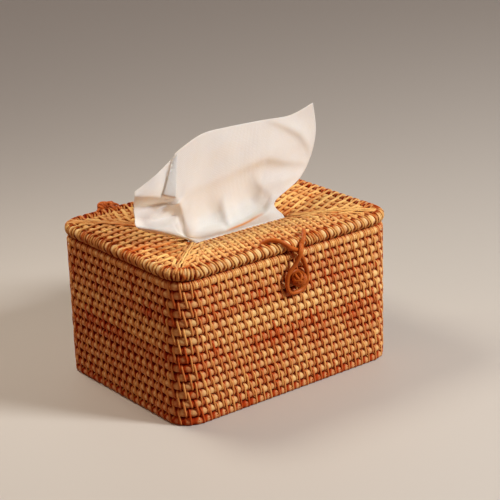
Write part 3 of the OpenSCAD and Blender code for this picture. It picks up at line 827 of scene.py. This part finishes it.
# %% Mitre lashings
LASHING_AT, RIM_MORE, OVER_ROW, OVER_DIP, TUCKED = (-1.5, 0.3, 2.0), 1.1, 0.75, 0.35, (1.6, 2.0)
OVER_RIM, UNDER_RIM = ((0.75, 0.25), (0.35, 0.85)), (3.6, 2.0)
SPLAY, WANDER, UNEVEN, CROSS_OVER = (1.25, 0.7), 0.45, (-0.1, 0.25), 0.35

def mitre_paths(sx, sy, face, seed):
    """Three paths along a mitre, on top of the lid (face 1) or under it (face -1)."""
    wander = np.random.default_rng(seed)
    axis = []
    for row in range(0, LID_ROWS + 1):
        half_l, half_w, bend = inner(rim_ring, lid_inset(row) if row else 0.0)
        back = bend * (1 - math.cos(math.pi / 4))
        axis.append((half_l - back, half_w - back, lid_z(max(row, 1)), CANE_R + (0 if row else RIM_MORE)))
    x, y, z, r = axis[0]
    if face > 0:
        points = [(x + r * out, y + r * out, z + r * up) for out, up in OVER_RIM]
    else:
        points = [(x - UNDER_RIM[0], y - UNDER_RIM[0], z - UNDER_RIM[1])]
    for (x0, y0, z0, r0), (x1, y1, z1, _) in zip(axis[1:], axis[2:] + [axis[-1]]):
        points.append((x0, y0, z0 + face * (r0 + OVER_ROW)))
        if (x1, y1) != (x0, y0):
            points.append(((x0 + x1) / 2, (y0 + y1) / 2, (z0 + z1) / 2 + face * (r0 + OVER_DIP)))
    x, y, z, _ = axis[-1]
    points = np.array(points + [(x - TUCKED[0], y - TUCKED[0], z + face * TUCKED[1])])
    paths = []
    for number, shift in enumerate(LASHING_AT):
        off = shift * np.linspace(*SPLAY, len(points)) + wander.uniform(-WANDER, WANDER, len(points))
        rise = face * (CROSS_OVER * (number % 2) + wander.uniform(*UNEVEN, len(points)))
        line = points + np.column_stack((off / math.sqrt(2), -off / math.sqrt(2), rise))
        paths.append(smooth_path(line[number % 2:] * (sx, sy, 1), 4))
    return paths

for end, sy, shades in (("front", -1, (0.6, 0.85, 0.45)), ("back", 1, (0.35, 0.5, 0.25))):
    for side, sx in (("left", -1), ("right", 1)):
        paths = mitre_paths(sx, sy, 1, 31 + sx + 3 * sy) + mitre_paths(sx, sy, -1, 51 + sx + 3 * sy)
        add(strand(f"mitre_strips_{end}_{side}", paths, 1.6, 1.0, lid_strip, tones=shades, taper=True),
            "lid", "binding_rattan", f"mitre_lashing_{end}_{side}")

# %% [markdown]
# ## Hinge ties
# Each hinge is a strand of cane knotted round both rims. Two turns lie side by
# side, and a fat knot of the same strand stands off the back of the lid's rim.

# %% Hinge ties
HINGE_X, TIE_R, TIE_LOW, TIE_APART = 54.0, 6.1, 108.9, 0.55
KNOT_OUT, KNOT_UP, KNOT_ASIDE = 9.2, math.radians(20), 1.8
LUMPS, LUMP_TURNS = ((-3.1, 0.5), (3.2, -0.45)), ((0.2, 3.1, -1.9), (0.1, 3.6, 0.1), (0.3, 3.1, 2.1))
TAIL_ROUTES = (((5, 0, 1), (8, -1.2, 1.2), (11, -2.8, -0.4)),
               ((-5, 0, 0), (-8, -0.8, -0.9), (-10, -1.8, -2.9)))
KNOT_Y, KNOT_Z = RIM_W + KNOT_OUT * math.cos(KNOT_UP), RIM_Z + KNOT_OUT * math.sin(KNOT_UP)

def tie_ring(x, wobble):
    """One turn of a tie round both rims: half a circle over the lid's and half a circle under the wall's."""
    turn = np.linspace(0, math.pi, 13)
    halves = [(x + s * wobble * math.sin(2 * a), RIM_W + s * TIE_R * math.cos(a), z + s * TIE_R * math.sin(a))
              for s, z in ((1, RIM_Z), (-1, TIE_LOW)) for a in turn]
    return smooth_path(halves, 2, closed=True)

def hoop(centre, axis, radii, shift=0.0, wobble=0.25, waves=3):
    """A turn of strand round an axis through a centre, shifted along that axis."""
    axis = np.array(axis, dtype=float) / np.linalg.norm(axis)
    side = np.cross(axis, (0.3, 0.2, 1.0))
    side /= np.linalg.norm(side)
    up = np.cross(axis, side)
    t = np.linspace(0, 2 * math.pi, 40, endpoint=False)[:, None]
    r = np.broadcast_to(radii, 2)
    lifted = np.array(centre) + axis * (shift + wobble * np.sin(waves * t))
    return lifted + side * np.cos(t) * r[0] + up * np.sin(t) * r[1]

for side, sx in (("left", -1), ("right", 1)):
    x = sx * HINGE_X
    rings = [tie_ring(x - TIE_APART, 0.1), tie_ring(x + TIE_APART, -0.1)]
    add(strand(f"hinge_turns_{side}", rings, 1.15, 2.0, cord, up=(0, 1, 0), closed=True, tones=(0.5, 0.8)),
        "basket", "tie_cane", f"hinge_tie_{side}")
    middle = x - KNOT_ASIDE * sx
    turns = [hoop((middle + off, KNOT_Y + 1.4, KNOT_Z - 1.0), (1, lead, tilt), r, shift)
             for off, tilt in LUMPS for lead, r, shift in LUMP_TURNS]
    turns.append(hoop((middle, KNOT_Y + 1.2, KNOT_Z - 0.9), (0.25, 1, 0.3), (6.6, 3.0), 1.5, 0.8, 2))
    add(strand(f"hinge_knot_{side}", turns, 2.5, 2.2, cord, up=(0.1, 0.9, 0.3), closed=True,
               tones=(0.9, 0.5, 0.75)), "basket", "tie_cane")
    tails = [smooth_path(np.array(route) + (x, KNOT_Y, KNOT_Z), 5) for route in TAIL_ROUTES]
    add(strand(f"hinge_tails_{side}", tails, 2.2, 1.8, cord, tones=(0.8,), taper=True), "basket", "tie_cane")

# %% [markdown]
# ## Loop and knot
# One strand makes the whole loop: it comes up through the lid's panel on the
# left, crosses the rim, hangs in a teardrop round the knot, crosses itself and
# goes back over the rim. Its path bends where it hangs over the rim. The knot is
# wound from thinner strand.

# %% The loop's strand, close to the CAD model's route
CLOSURE_X, LEG_R, THROAT, EYE_W, LOOP_DROP, CROSSING = 2.8, 6.8, 10.4, 20.6, 36.1, 3.9
LEFT_LEG, RIGHT_LEG, LEG_TURN, LEG_STEPS = 23, 18.5, 148, 12
LOOP_Y = -(RIM_W + LEG_R)
LOOP = ((-0.505, 0, 0), (-0.18, 0.05, 0), (0.14, 0.105, 0), (0.52, 0.26, 0),
        (0.80, 0.445, 0), (1, 0.65, -0.08), (0.93, 0.85, -0.12), (0.56, 0.965, -0.14),
        (0, 1, -0.15), (-0.56, 0.96, -0.12), (-0.84, 0.83, -0.05), (-0.88, 0.67, 0.08),
        (-0.76, 0.53, 0.25), (-0.33, 0.38, 0.55), (-0.05, 0.24, 0.88), (0.14, 0.105, 1),
        (0.33, 0.045, 0.6), (0.505, 0, 0))

def leg(side, reach):
    """Path of a leg, from where it hangs over the rim's face to where it meets the panel."""
    out = []
    for i in range(1, LEG_STEPS + 1):
        share = i / LEG_STEPS
        a = math.radians(LEG_TURN * share)
        x = CLOSURE_X + side * (THROAT / 2 + (reach - THROAT / 2) * share)
        out.append((x, -RIM_W - LEG_R * math.cos(a), RIM_Z + LEG_R * math.sin(a)))
    return out

hang = [(CLOSURE_X + sx * EYE_W / 2, LOOP_Y - out * CROSSING, RIM_Z - down * LOOP_DROP)
        for sx, down, out in LOOP]
loop_path = smooth_path(leg(-1, LEFT_LEG)[::-1] + hang + leg(1, RIGHT_LEG), 4)
loop_strand = strand("loop_strand", [loop_path], 3.5, 3.2, cord, up=(0, -1, 0), sides=14, tones=(0.75,))
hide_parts("loop_leg_left", "loop_leg_right", "closure_loop")
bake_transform(loop_strand)

# %% The knot that the loop goes round
KNOT_AT, STOP_AT = np.array((CLOSURE_X, -84.6, 92.1)), (CLOSURE_X, -68.5, 90.3)
BALL = (((0.75, 0.3, -0.66), 5.0, (-3.6, -1.2, 1.2, 3.6)), ((0.5, -0.5, 0.75), 4.4, (-3.3, -1.1, 1.1, 3.3)),
        ((0.2, 1, 0.3), 3.4, (-2.2, 0, 2.2)))
turns = [hoop(KNOT_AT, axis, math.sqrt(size ** 2 - shift ** 2), shift, 0.15)
         for axis, size, shifts in BALL for shift in shifts]
add(strand("knot_ball", turns, 2.3, 2.0, cord, up=(0.1, -0.9, 0.2), closed=True, tones=(0.9, 0.6, 0.8)),
    "basket", "loop_cane", "closure_knot")
collar = [hoop((CLOSURE_X, -80.2, 92.1), (0.05, 1, 0.05), 5.1, 0.0, 0.2),
          hoop(STOP_AT, (0.1, 1, 0), 2.3, 0.0, 0.8)]
add(strand("knot_collar", collar, 2.3, 2.3, cord, up=(0, -1, 0), closed=True, tones=(0.6, 0.7)),
    "basket", "loop_cane")
tails = [smooth_path([tuple(KNOT_AT), (CLOSURE_X, -79.5, 90.6), (CLOSURE_X, -74, 90.3), STOP_AT], 5),
         smooth_path([(5.5, -83.5, 88.2), (9.5, -82.6, 87.6), (12.6, -81.6, 88.6)], 5)]
add(strand("knot_tail", tails, 2.6, 2.4, cord, tones=(0.5, 0.9), taper=True), "basket", "loop_cane")

# %% [markdown]
# ## The folded tissues in the box
# The stack is made of folded tissues one over another. Each is a thin slab with
# a rounded fold along its long sides, and lies a little off the one below.

# %% Stack of tissues
LAYERS, FOLD_SIDES, INSIDE_BOX, LAYER_OFF, LAYER_LESS = 20, 10, 0.7, 0.6, 0.5
low, high = (np.array(v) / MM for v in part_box("tissue_stack"))
thick = (high[2] - low[2]) / LAYERS
rng = np.random.default_rng(5)
points, faces = [], []
for i in range(LAYERS):
    off = rng.uniform(-LAYER_OFF, LAYER_OFF, 2)
    half_l, half_w = ((high[k] - low[k]) / 2 - INSIDE_BOX - rng.uniform(0, LAYER_LESS) for k in range(2))
    z, first = low[2] + thick * (i + 0.5), len(points)
    for end in (-1, 1):
        for k in range(FOLD_SIDES):
            a = 2 * math.pi * (k + 0.5) / FOLD_SIDES
            y = math.copysign(half_w - thick / 2, math.cos(a)) + math.cos(a) * thick / 2
            place = (end * half_l + off[0], y + off[1], z + math.sin(a) * thick / 2)
            points.append(tuple(v * MM for v in place))
    faces += [(a, d, c, b) for a, b, c, d in tube_faces(first, 2, FOLD_SIDES, False)]
    faces += [tuple(range(first, first + FOLD_SIDES)),
              tuple(range(first + FOLD_SIDES, first + 2 * FOLD_SIDES))[::-1]]
stack = mesh_object("tissue_layers", points, [], faces)
print("layers of tissue:", LAYERS, "each", round(float(thick), 2), "mm")

# %% [markdown]
# ## The tissue that stands out of the slot
# A paper tissue drawn from a pack keeps its sharp creases and stands up as a
# sail. Its main shape follows the CAD sheet: nine rows of points from the hidden
# lower edge to the free edge, with smooth curves through them. Some points of
# the five middle rows are moved a little, inwards at the slot and above
# it. The folds that the light picks out are then pressed into the sheet along
# lines: each has a height and a width on either side, so that one fold can
# overhang and another can roll. One crease near the slot is orange in the
# photograph. A line of the same kind stores how much of that colour the paper
# takes there.
# That orange is painted light: warm light bounced from the cane into the crease.

# %% The sheet's main shape, in shares as in the CAD model
SHEET = (
    ((-0.40, -0.18, -1), (-0.33, -0.55, -1), (-0.24, -0.14, -1), (-0.15, -0.51, -1), (-0.05, -0.09, -1),
     (0.04, -0.46, -1), (0.14, -0.14, -1), (0.26, -0.41, -1), (0.37, -0.18, -1)),
    ((-0.42, -0.28, -0.4), (-0.37, -0.69, -0.4), (-0.30, -0.23, -0.4), (-0.21, -0.65, -0.4),
     (-0.11, -0.18, -0.4), (0, -0.6, -0.4), (0.12, -0.18, -0.4), (0.25, -0.55, -0.4), (0.38, -0.23, -0.4)),
    ((-0.48, -0.46, -0.07), (-0.485, -0.75, -0.07), (-0.47, -0.89, -0.07), (-0.41, -0.90, -0.07),
     (-0.30, -0.90, -0.07), (-0.11, -0.895, -0.07), (0.11, -0.895, -0.07), (0.32, -0.90, -0.07),
     (0.46, -0.83, -0.07)),
    ((-0.49, -0.50, 0), (-0.49, -0.78, 0), (-0.48, -0.91, 0), (-0.42, -0.925, 0), (-0.32, -0.925, 0),
     (-0.11, -0.92, 0), (0.11, -0.915, 0), (0.32, -0.92, 0), (0.47, -0.86, 0)),
    ((-0.956, -0.65, 0.235), (-0.835, -0.92, 0.21), (-0.66, -0.92, 0.147), (-0.593, -0.88, 0.09),
     (-0.473, -0.945, 0.06), (-0.154, -0.91, 0.05), (0.11, -0.85, 0.06), (0.30, -0.78, 0.09),
     (0.43, -0.58, 0.13)),
    ((-0.98, -0.45, 0.35), (-0.80, -0.60, 0.29), (-0.69, -0.62, 0.265), (-0.56, -0.69, 0.215),
     (-0.495, -0.78, 0.16), (-0.09, -0.6, 0.134), (0.25, -0.41, 0.16), (0.50, -0.28, 0.20),
     (0.80, -0.05, 0.235)),
    ((-0.98, -0.43, 0.463), (-0.78, -0.42, 0.40), (-0.68, -0.50, 0.38), (-0.58, -0.66, 0.362),
     (-0.41, -0.65, 0.3), (-0.02, -0.41, 0.286), (0.37, -0.18, 0.35), (0.69, -0.05, 0.413),
     (0.967, 0.09, 0.413)),
    ((-1, -0.65, 0.55), (-0.835, -0.78, 0.54), (-0.747, -0.78, 0.527), (-0.626, -0.83, 0.476),
     (-0.3, -0.55, 0.64), (-0.01, -0.5, 0.666), (0.363, -0.32, 0.666), (0.70, -0.14, 0.678), (1.02, 0, 0.69)),
    ((-0.98, -0.55, 0.60), (-0.79, -0.65, 0.716), (-0.60, -0.55, 0.83), (-0.55, -0.55, 0.88),
     (-0.286, -0.46, 0.98), (0, -0.37, 0.98), (0.374, -0.28, 0.957), (0.70, -0.18, 0.93), (0.956, -0.18, 1)))
HALF_TISSUE, SLOT_W, SLOT_Z, RISE, DROP, FINENESS = 91.0, 21.7, 115.4, 79.0, 61.7, 18
net = np.array(SHEET)
heights = SLOT_Z + np.where(net[..., 2] < 0, net[..., 2] * DROP, net[..., 2] * RISE)
net = np.stack((net[..., 0] * HALF_TISSUE, net[..., 1] * SLOT_W, heights), -1)
fine = smooth_path(smooth_path(net, FINENESS).transpose(1, 0, 2), FINENESS).transpose(1, 0, 2)
print("sheet grid:", fine.shape[:2])

# %% Folds: places across and up in millimetres with a height at each, then the widths above and below
FOLDS = (
    (((-60, 152, 0), (-46, 154, 1.8), (-17, 155, 3.0), (7, 158, 4.2), (22, 159, 5.8), (39, 160, 6.6),
      (59, 152.5, 5.8), (79, 147, 3.4), (90, 144, 0)), 18, 4.0),
    (((20, 148, 0), (34, 138, 4.5), (55, 137, 6.5), (74, 137, 5.0), (86, 141, 0)), 9, 14),
    (((38, 190, 0), (49, 186, 2.4), (64, 178, 3.6), (75, 171, 3.6), (85, 159, 2.4), (88, 150, 0)), 7, 2.4),
    (((-8, 142, 0), (-8.2, 136, 3.2), (-8.2, 126, 4.6), (-9.8, 121, 3.4), (-10, 117, 0)), 1.7, 2.4),
    (((-42, 124.5, 0), (-36, 124, -4), (-26.5, 123.6, -7), (-18, 122.6, -7), (-13, 119.6, -6), (6, 121, -7),
      (26, 124, -6), (36.5, 128, -2.5), (40, 131, 0)), 14, 1.3),
    (((-40, 122, 0), (-34, 121.5, 1.2), (-18, 120, 1.8), (-13, 117.5, 1.2), (6, 118.4, 1.8), (26, 121, 1.8),
      (38, 124, 0)), 1.2, 5),
    (((-57, 150, 0), (-52, 146, 1.8), (-50, 141, 2.8), (-48.3, 132, 3.4), (-45.5, 126, 2.8), (-43.5, 119, 0)),
     9, 5.0),
    (((-94, 161, 2.2), (-78, 157.6, 2.2), (-68, 155, 2.4), (-58.5, 153.6, 2.0), (-53, 153, 0)), 13, 1.4),
    (((-95, 151, -3), (-84, 148.5, -4.2), (-72, 148.5, -3.8), (-62, 150, -2.5), (-56, 151, 0)), 6.0, 9.0),
    (((-84, 138.6, 0), (-77, 141, 2.5), (-67, 143.8, 5), (-58, 146.4, 6), (-53, 147, 5), (-50.5, 143, 3),
      (-49, 137, 0)), 3.0, 3.6),
    (((-84, 138.5, 0), (-76, 137.8, -2), (-64, 137.2, -3), (-56, 137.5, -2.5), (-52, 138, 0)), 1.6, 1.8),
    (((-95, 138, 3), (-84, 134.8, 4.5), (-72, 132.8, 5.5), (-60, 132, 6), (-55.5, 132, 4), (-53.5, 132, 0)),
     2.8, 6.0),
    (((-54.5, 127, 0), (-53, 124, -2.2), (-52, 120.5, -2.4), (-51, 118, -1.2), (-50, 116.5, 0)), 2.4, 2.6),
    (((-57, 184, 0), (-56, 180, -1.6), (-62.5, 173, -2.6), (-70, 157, -2.0), (-71, 154, 0)), 2.4, 9.0),
    (((-44, 136, 0), (-34, 131, -3.5), (-22, 131, -4.5), (-12, 133, 0)), 12, 6),
    (((-6, 130, 0), (6, 129, -4.0), (20, 131, -4.0), (32, 136, 0)), 12, 6),
    (((-45, 178, 0), (-30, 176, 1.2), (-5, 180, 1.8), (20, 184, 0)), 12, 10),
    (((-40, 160, 0), (-20, 165, -1.4), (10, 172, -2.0), (30, 176, 0)), 7, 9))
# Painted light: the line of orange light bounced from the cane into a crease near the slot, places across and
# up with a strength at each.
BOUNCE_LIGHT_CREASE = ((-15.4, 117.3, 0), (-10, 117.4, 0.8), (-4, 117.8, 1), (2.1, 118.1, 1), (9.2, 118.9, 0.95),
               (15.9, 120.1, 0.8), (21.6, 120.9, 0.5), (26, 121.3, 0))
BOUNCE_LIGHT_WIDTH, SOFTENED, FOLDS_FROM, FOLDS_OVER = 0.8, 0.15, 114, 6
OUTWARD = np.array((-0.58, -0.76, 0.29))

def press(sheet, line, above, below):
    """How far a fold pushes each point of the sheet."""
    x, z = sheet[..., 0], sheet[..., 2]
    nearest, pushed, over = np.full(x.shape, np.inf), np.zeros(x.shape), np.zeros(x.shape, dtype=bool)
    for (x0, z0, h0), (x1, z1, h1) in zip(line, line[1:]):
        dx, dz = x1 - x0, z1 - z0
        share = np.clip(((x - x0) * dx + (z - z0) * dz) / (dx * dx + dz * dz), 0, 1)
        away = np.hypot(x - x0 - share * dx, z - z0 - share * dz)
        closer = away < nearest
        nearest = np.where(closer, away, nearest)
        pushed = np.where(closer, h0 + (h1 - h0) * share, pushed)
        over = np.where(closer, dx * (z - z0) - dz * (x - x0) > 0, over)
    return pushed * np.exp(-(nearest / np.where(over, above, below)) ** 1.5)

pushed = sum(press(fine, *fold) for fold in FOLDS)
for _ in range(2):
    middle = pushed[1:-1, 1:-1]
    around = pushed[2:, 1:-1] + pushed[:-2, 1:-1] + pushed[1:-1, 2:] + pushed[1:-1, :-2]
    middle += SOFTENED * (around - 4 * middle)
shown = np.clip((fine[..., 2] - FOLDS_FROM) / FOLDS_OVER, 0, 1)
folded = fine + (pushed * shown)[..., None] * OUTWARD
print("folds reach from", round(float(pushed.min()), 1), "to", round(float(pushed.max()), 1), "mm")

# %% The narrow flap that is folded over at the left
FLAP_LONG, FLAP_WIDE, FLAP_LIFT, FLAP_CURL = 25, 9, 0.4, 0.5
ends = np.array(((-54, -12.1, 180.6), (-50.4, -12.3, 183.3), (-68.7, -16.9, 157.2), (-58.5, -18.2, 152.8)))
down, across = np.linspace(0, 1, FLAP_LONG)[:, None, None], np.linspace(0, 1, FLAP_WIDE)[None, :, None]
upper, lower = ((1 - across) * ends[k] + across * ends[k + 1] for k in (0, 2))
flap = (1 - down) * upper + down * lower
away = ((folded[None, None, :, :, ::2] - flap[:, :, None, None, ::2]) ** 2).sum(-1)
nearest = np.argmin(away.reshape(FLAP_LONG, FLAP_WIDE, -1), -1)
curl = np.sin(np.pi * np.clip(down[..., 0] * 0.85 + 0.15, 0, 1) * 0.6)
lift = FLAP_LIFT + FLAP_CURL * (1 - across[..., 0]) ** 0.7 * curl
flap = folded.reshape(-1, 3)[nearest] * (0, 1, 0) + flap * (1, 0, 1) + lift[..., None] * OUTWARD
print("flap of", FLAP_LONG, "by", FLAP_WIDE, "points")

# %% Tissue paper
PAPER, PALE_PAPER, BOUNCE_LIGHT_COLOUR = (0.90, 0.87, 0.79, 1), (0.94, 0.96, 0.94, 1), (0.85, 0.27, 0.03, 1)
EMBOSSED, FUZZ_SCALE, SOFT_SCALE = 62, 160, 9
tissue_mat, t, shader = new_material("tissue paper")
uv = node(t, "ShaderNodeTexCoord").outputs["UV"]
wave = {"Vector": uv, "Scale": EMBOSSED, "Distortion": 1.5, "Detail": 2, "Detail Scale": 2}
waves = [node(t, "ShaderNodeTexWave", wave, bands_direction=way).outputs["Fac"] for way in "XY"]
weave = calc(t, "MULTIPLY", *waves)
fuzz, soft = grain(t, uv, FUZZ_SCALE, 4), grain(t, uv, SOFT_SCALE, 3)
relief = calc(t, "ADD", calc(t, "ADD", weave, fuzz), calc(t, "MULTIPLY", soft, 3))
paper = mix_colour(t, map_range(t, calc(t, "ADD", weave, soft), 0.2, 1.2, 0, 1), PAPER, PALE_PAPER)
# Painted light: the crease takes the orange of light bounced from the cane.
warm = node(t, "ShaderNodeAttribute", attribute_name="warm").outputs["Fac"]
for label, value in (("Roughness", 0.9), ("Specular IOR Level", 0.15), ("Subsurface Weight", 0.4),
                     ("Subsurface Radius", (0.008, 0.005, 0.003)), ("Subsurface Scale", 1.0),
                     ("Base Color", mix_colour(t, warm, paper, BOUNCE_LIGHT_COLOUR))):
    put(t, shader.inputs[label], value)
bump = node(t, "ShaderNodeBump", {"Strength": 0.3, "Distance": BUMP_DEPTH, "Height": relief}).outputs[0]
put(t, shader.inputs["Normal"], bump)

# %% The tissue itself
TISSUE_L, PAPER_THICK, UV_POINTS = 0.182, 0.0004, 145

def sheet_mesh(name, grids, material):
    """One mesh of several grids of points, with UVs that follow each grid."""
    points, faces, flat = [], [], []
    for grid in grids:
        rows, cols = grid.shape[:2]
        at = len(points) + np.arange(rows * cols).reshape(rows, cols)
        corners = (at[:-1, :-1], at[:-1, 1:], at[1:, 1:], at[1:, :-1])
        faces += np.stack([c.ravel() for c in corners], 1).tolist()
        u, v = np.meshgrid(np.linspace(0, cols / UV_POINTS, cols), np.linspace(0, rows / UV_POINTS, rows))
        flat.append(np.stack((u.ravel(), v.ravel()), 1))
        points += [tuple(p) for p in grid.reshape(-1, 3) * MM]
    obj = smooth_mesh(name, points, faces, material)
    loops = np.empty(len(obj.data.loops), dtype=np.int32)
    obj.data.loops.foreach_get("vertex_index", loops)
    obj.data.uv_layers.new(name="UVMap").data.foreach_set("uv", np.concatenate(flat)[loops].ravel())
    return obj

tissue = sheet_mesh("tissue_sheet_paper", [folded, flap], tissue_mat)
# Painted light: how much bounced orange light each point of the sheet takes; the flap takes none.
crease = press(fine, BOUNCE_LIGHT_CREASE, BOUNCE_LIGHT_WIDTH, BOUNCE_LIGHT_WIDTH).ravel()
set_attribute(tissue, "warm", np.concatenate((crease, np.zeros(FLAP_LONG * FLAP_WIDE))))
solid = tissue.modifiers.new("thickness", "SOLIDIFY")
solid.thickness, solid.offset = PAPER_THICK, 0
add(tissue, "tissue", "tissue", "tissue_sheet")
stack.data.materials.append(tissue_mat)
add(stack, "basket", "tissue", "tissue_stack")

# %% [markdown]
# ## Floor
# A plain floor carries the box and catches its shadow. It is pale only where the
# camera sees it. For the light that bounces off it, it is dark, so that the
# lowest rows keep their depth.

# %% Floor
FLOOR_HALF, FLOOR_BOUNCE, FLOOR_SEEN = 4, (0.18, 0.07, 0.03, 1), (0.62, 0.61, 0.59, 1)
corners = [(x * FLOOR_HALF, y * FLOOR_HALF, 0) for x, y in ((-1, -1), (1, -1), (1, 1), (-1, 1))]
floor = mesh_object("floor", corners, [], [(0, 1, 2, 3)])
floor_mat, t, shader = new_material("pale floor")
put(t, shader.inputs["Base Color"], mix_colour(t, seen_directly(t), FLOOR_BOUNCE, FLOOR_SEEN))
shader.inputs["Roughness"].default_value = 0.6
floor.data.materials.append(floor_mat)
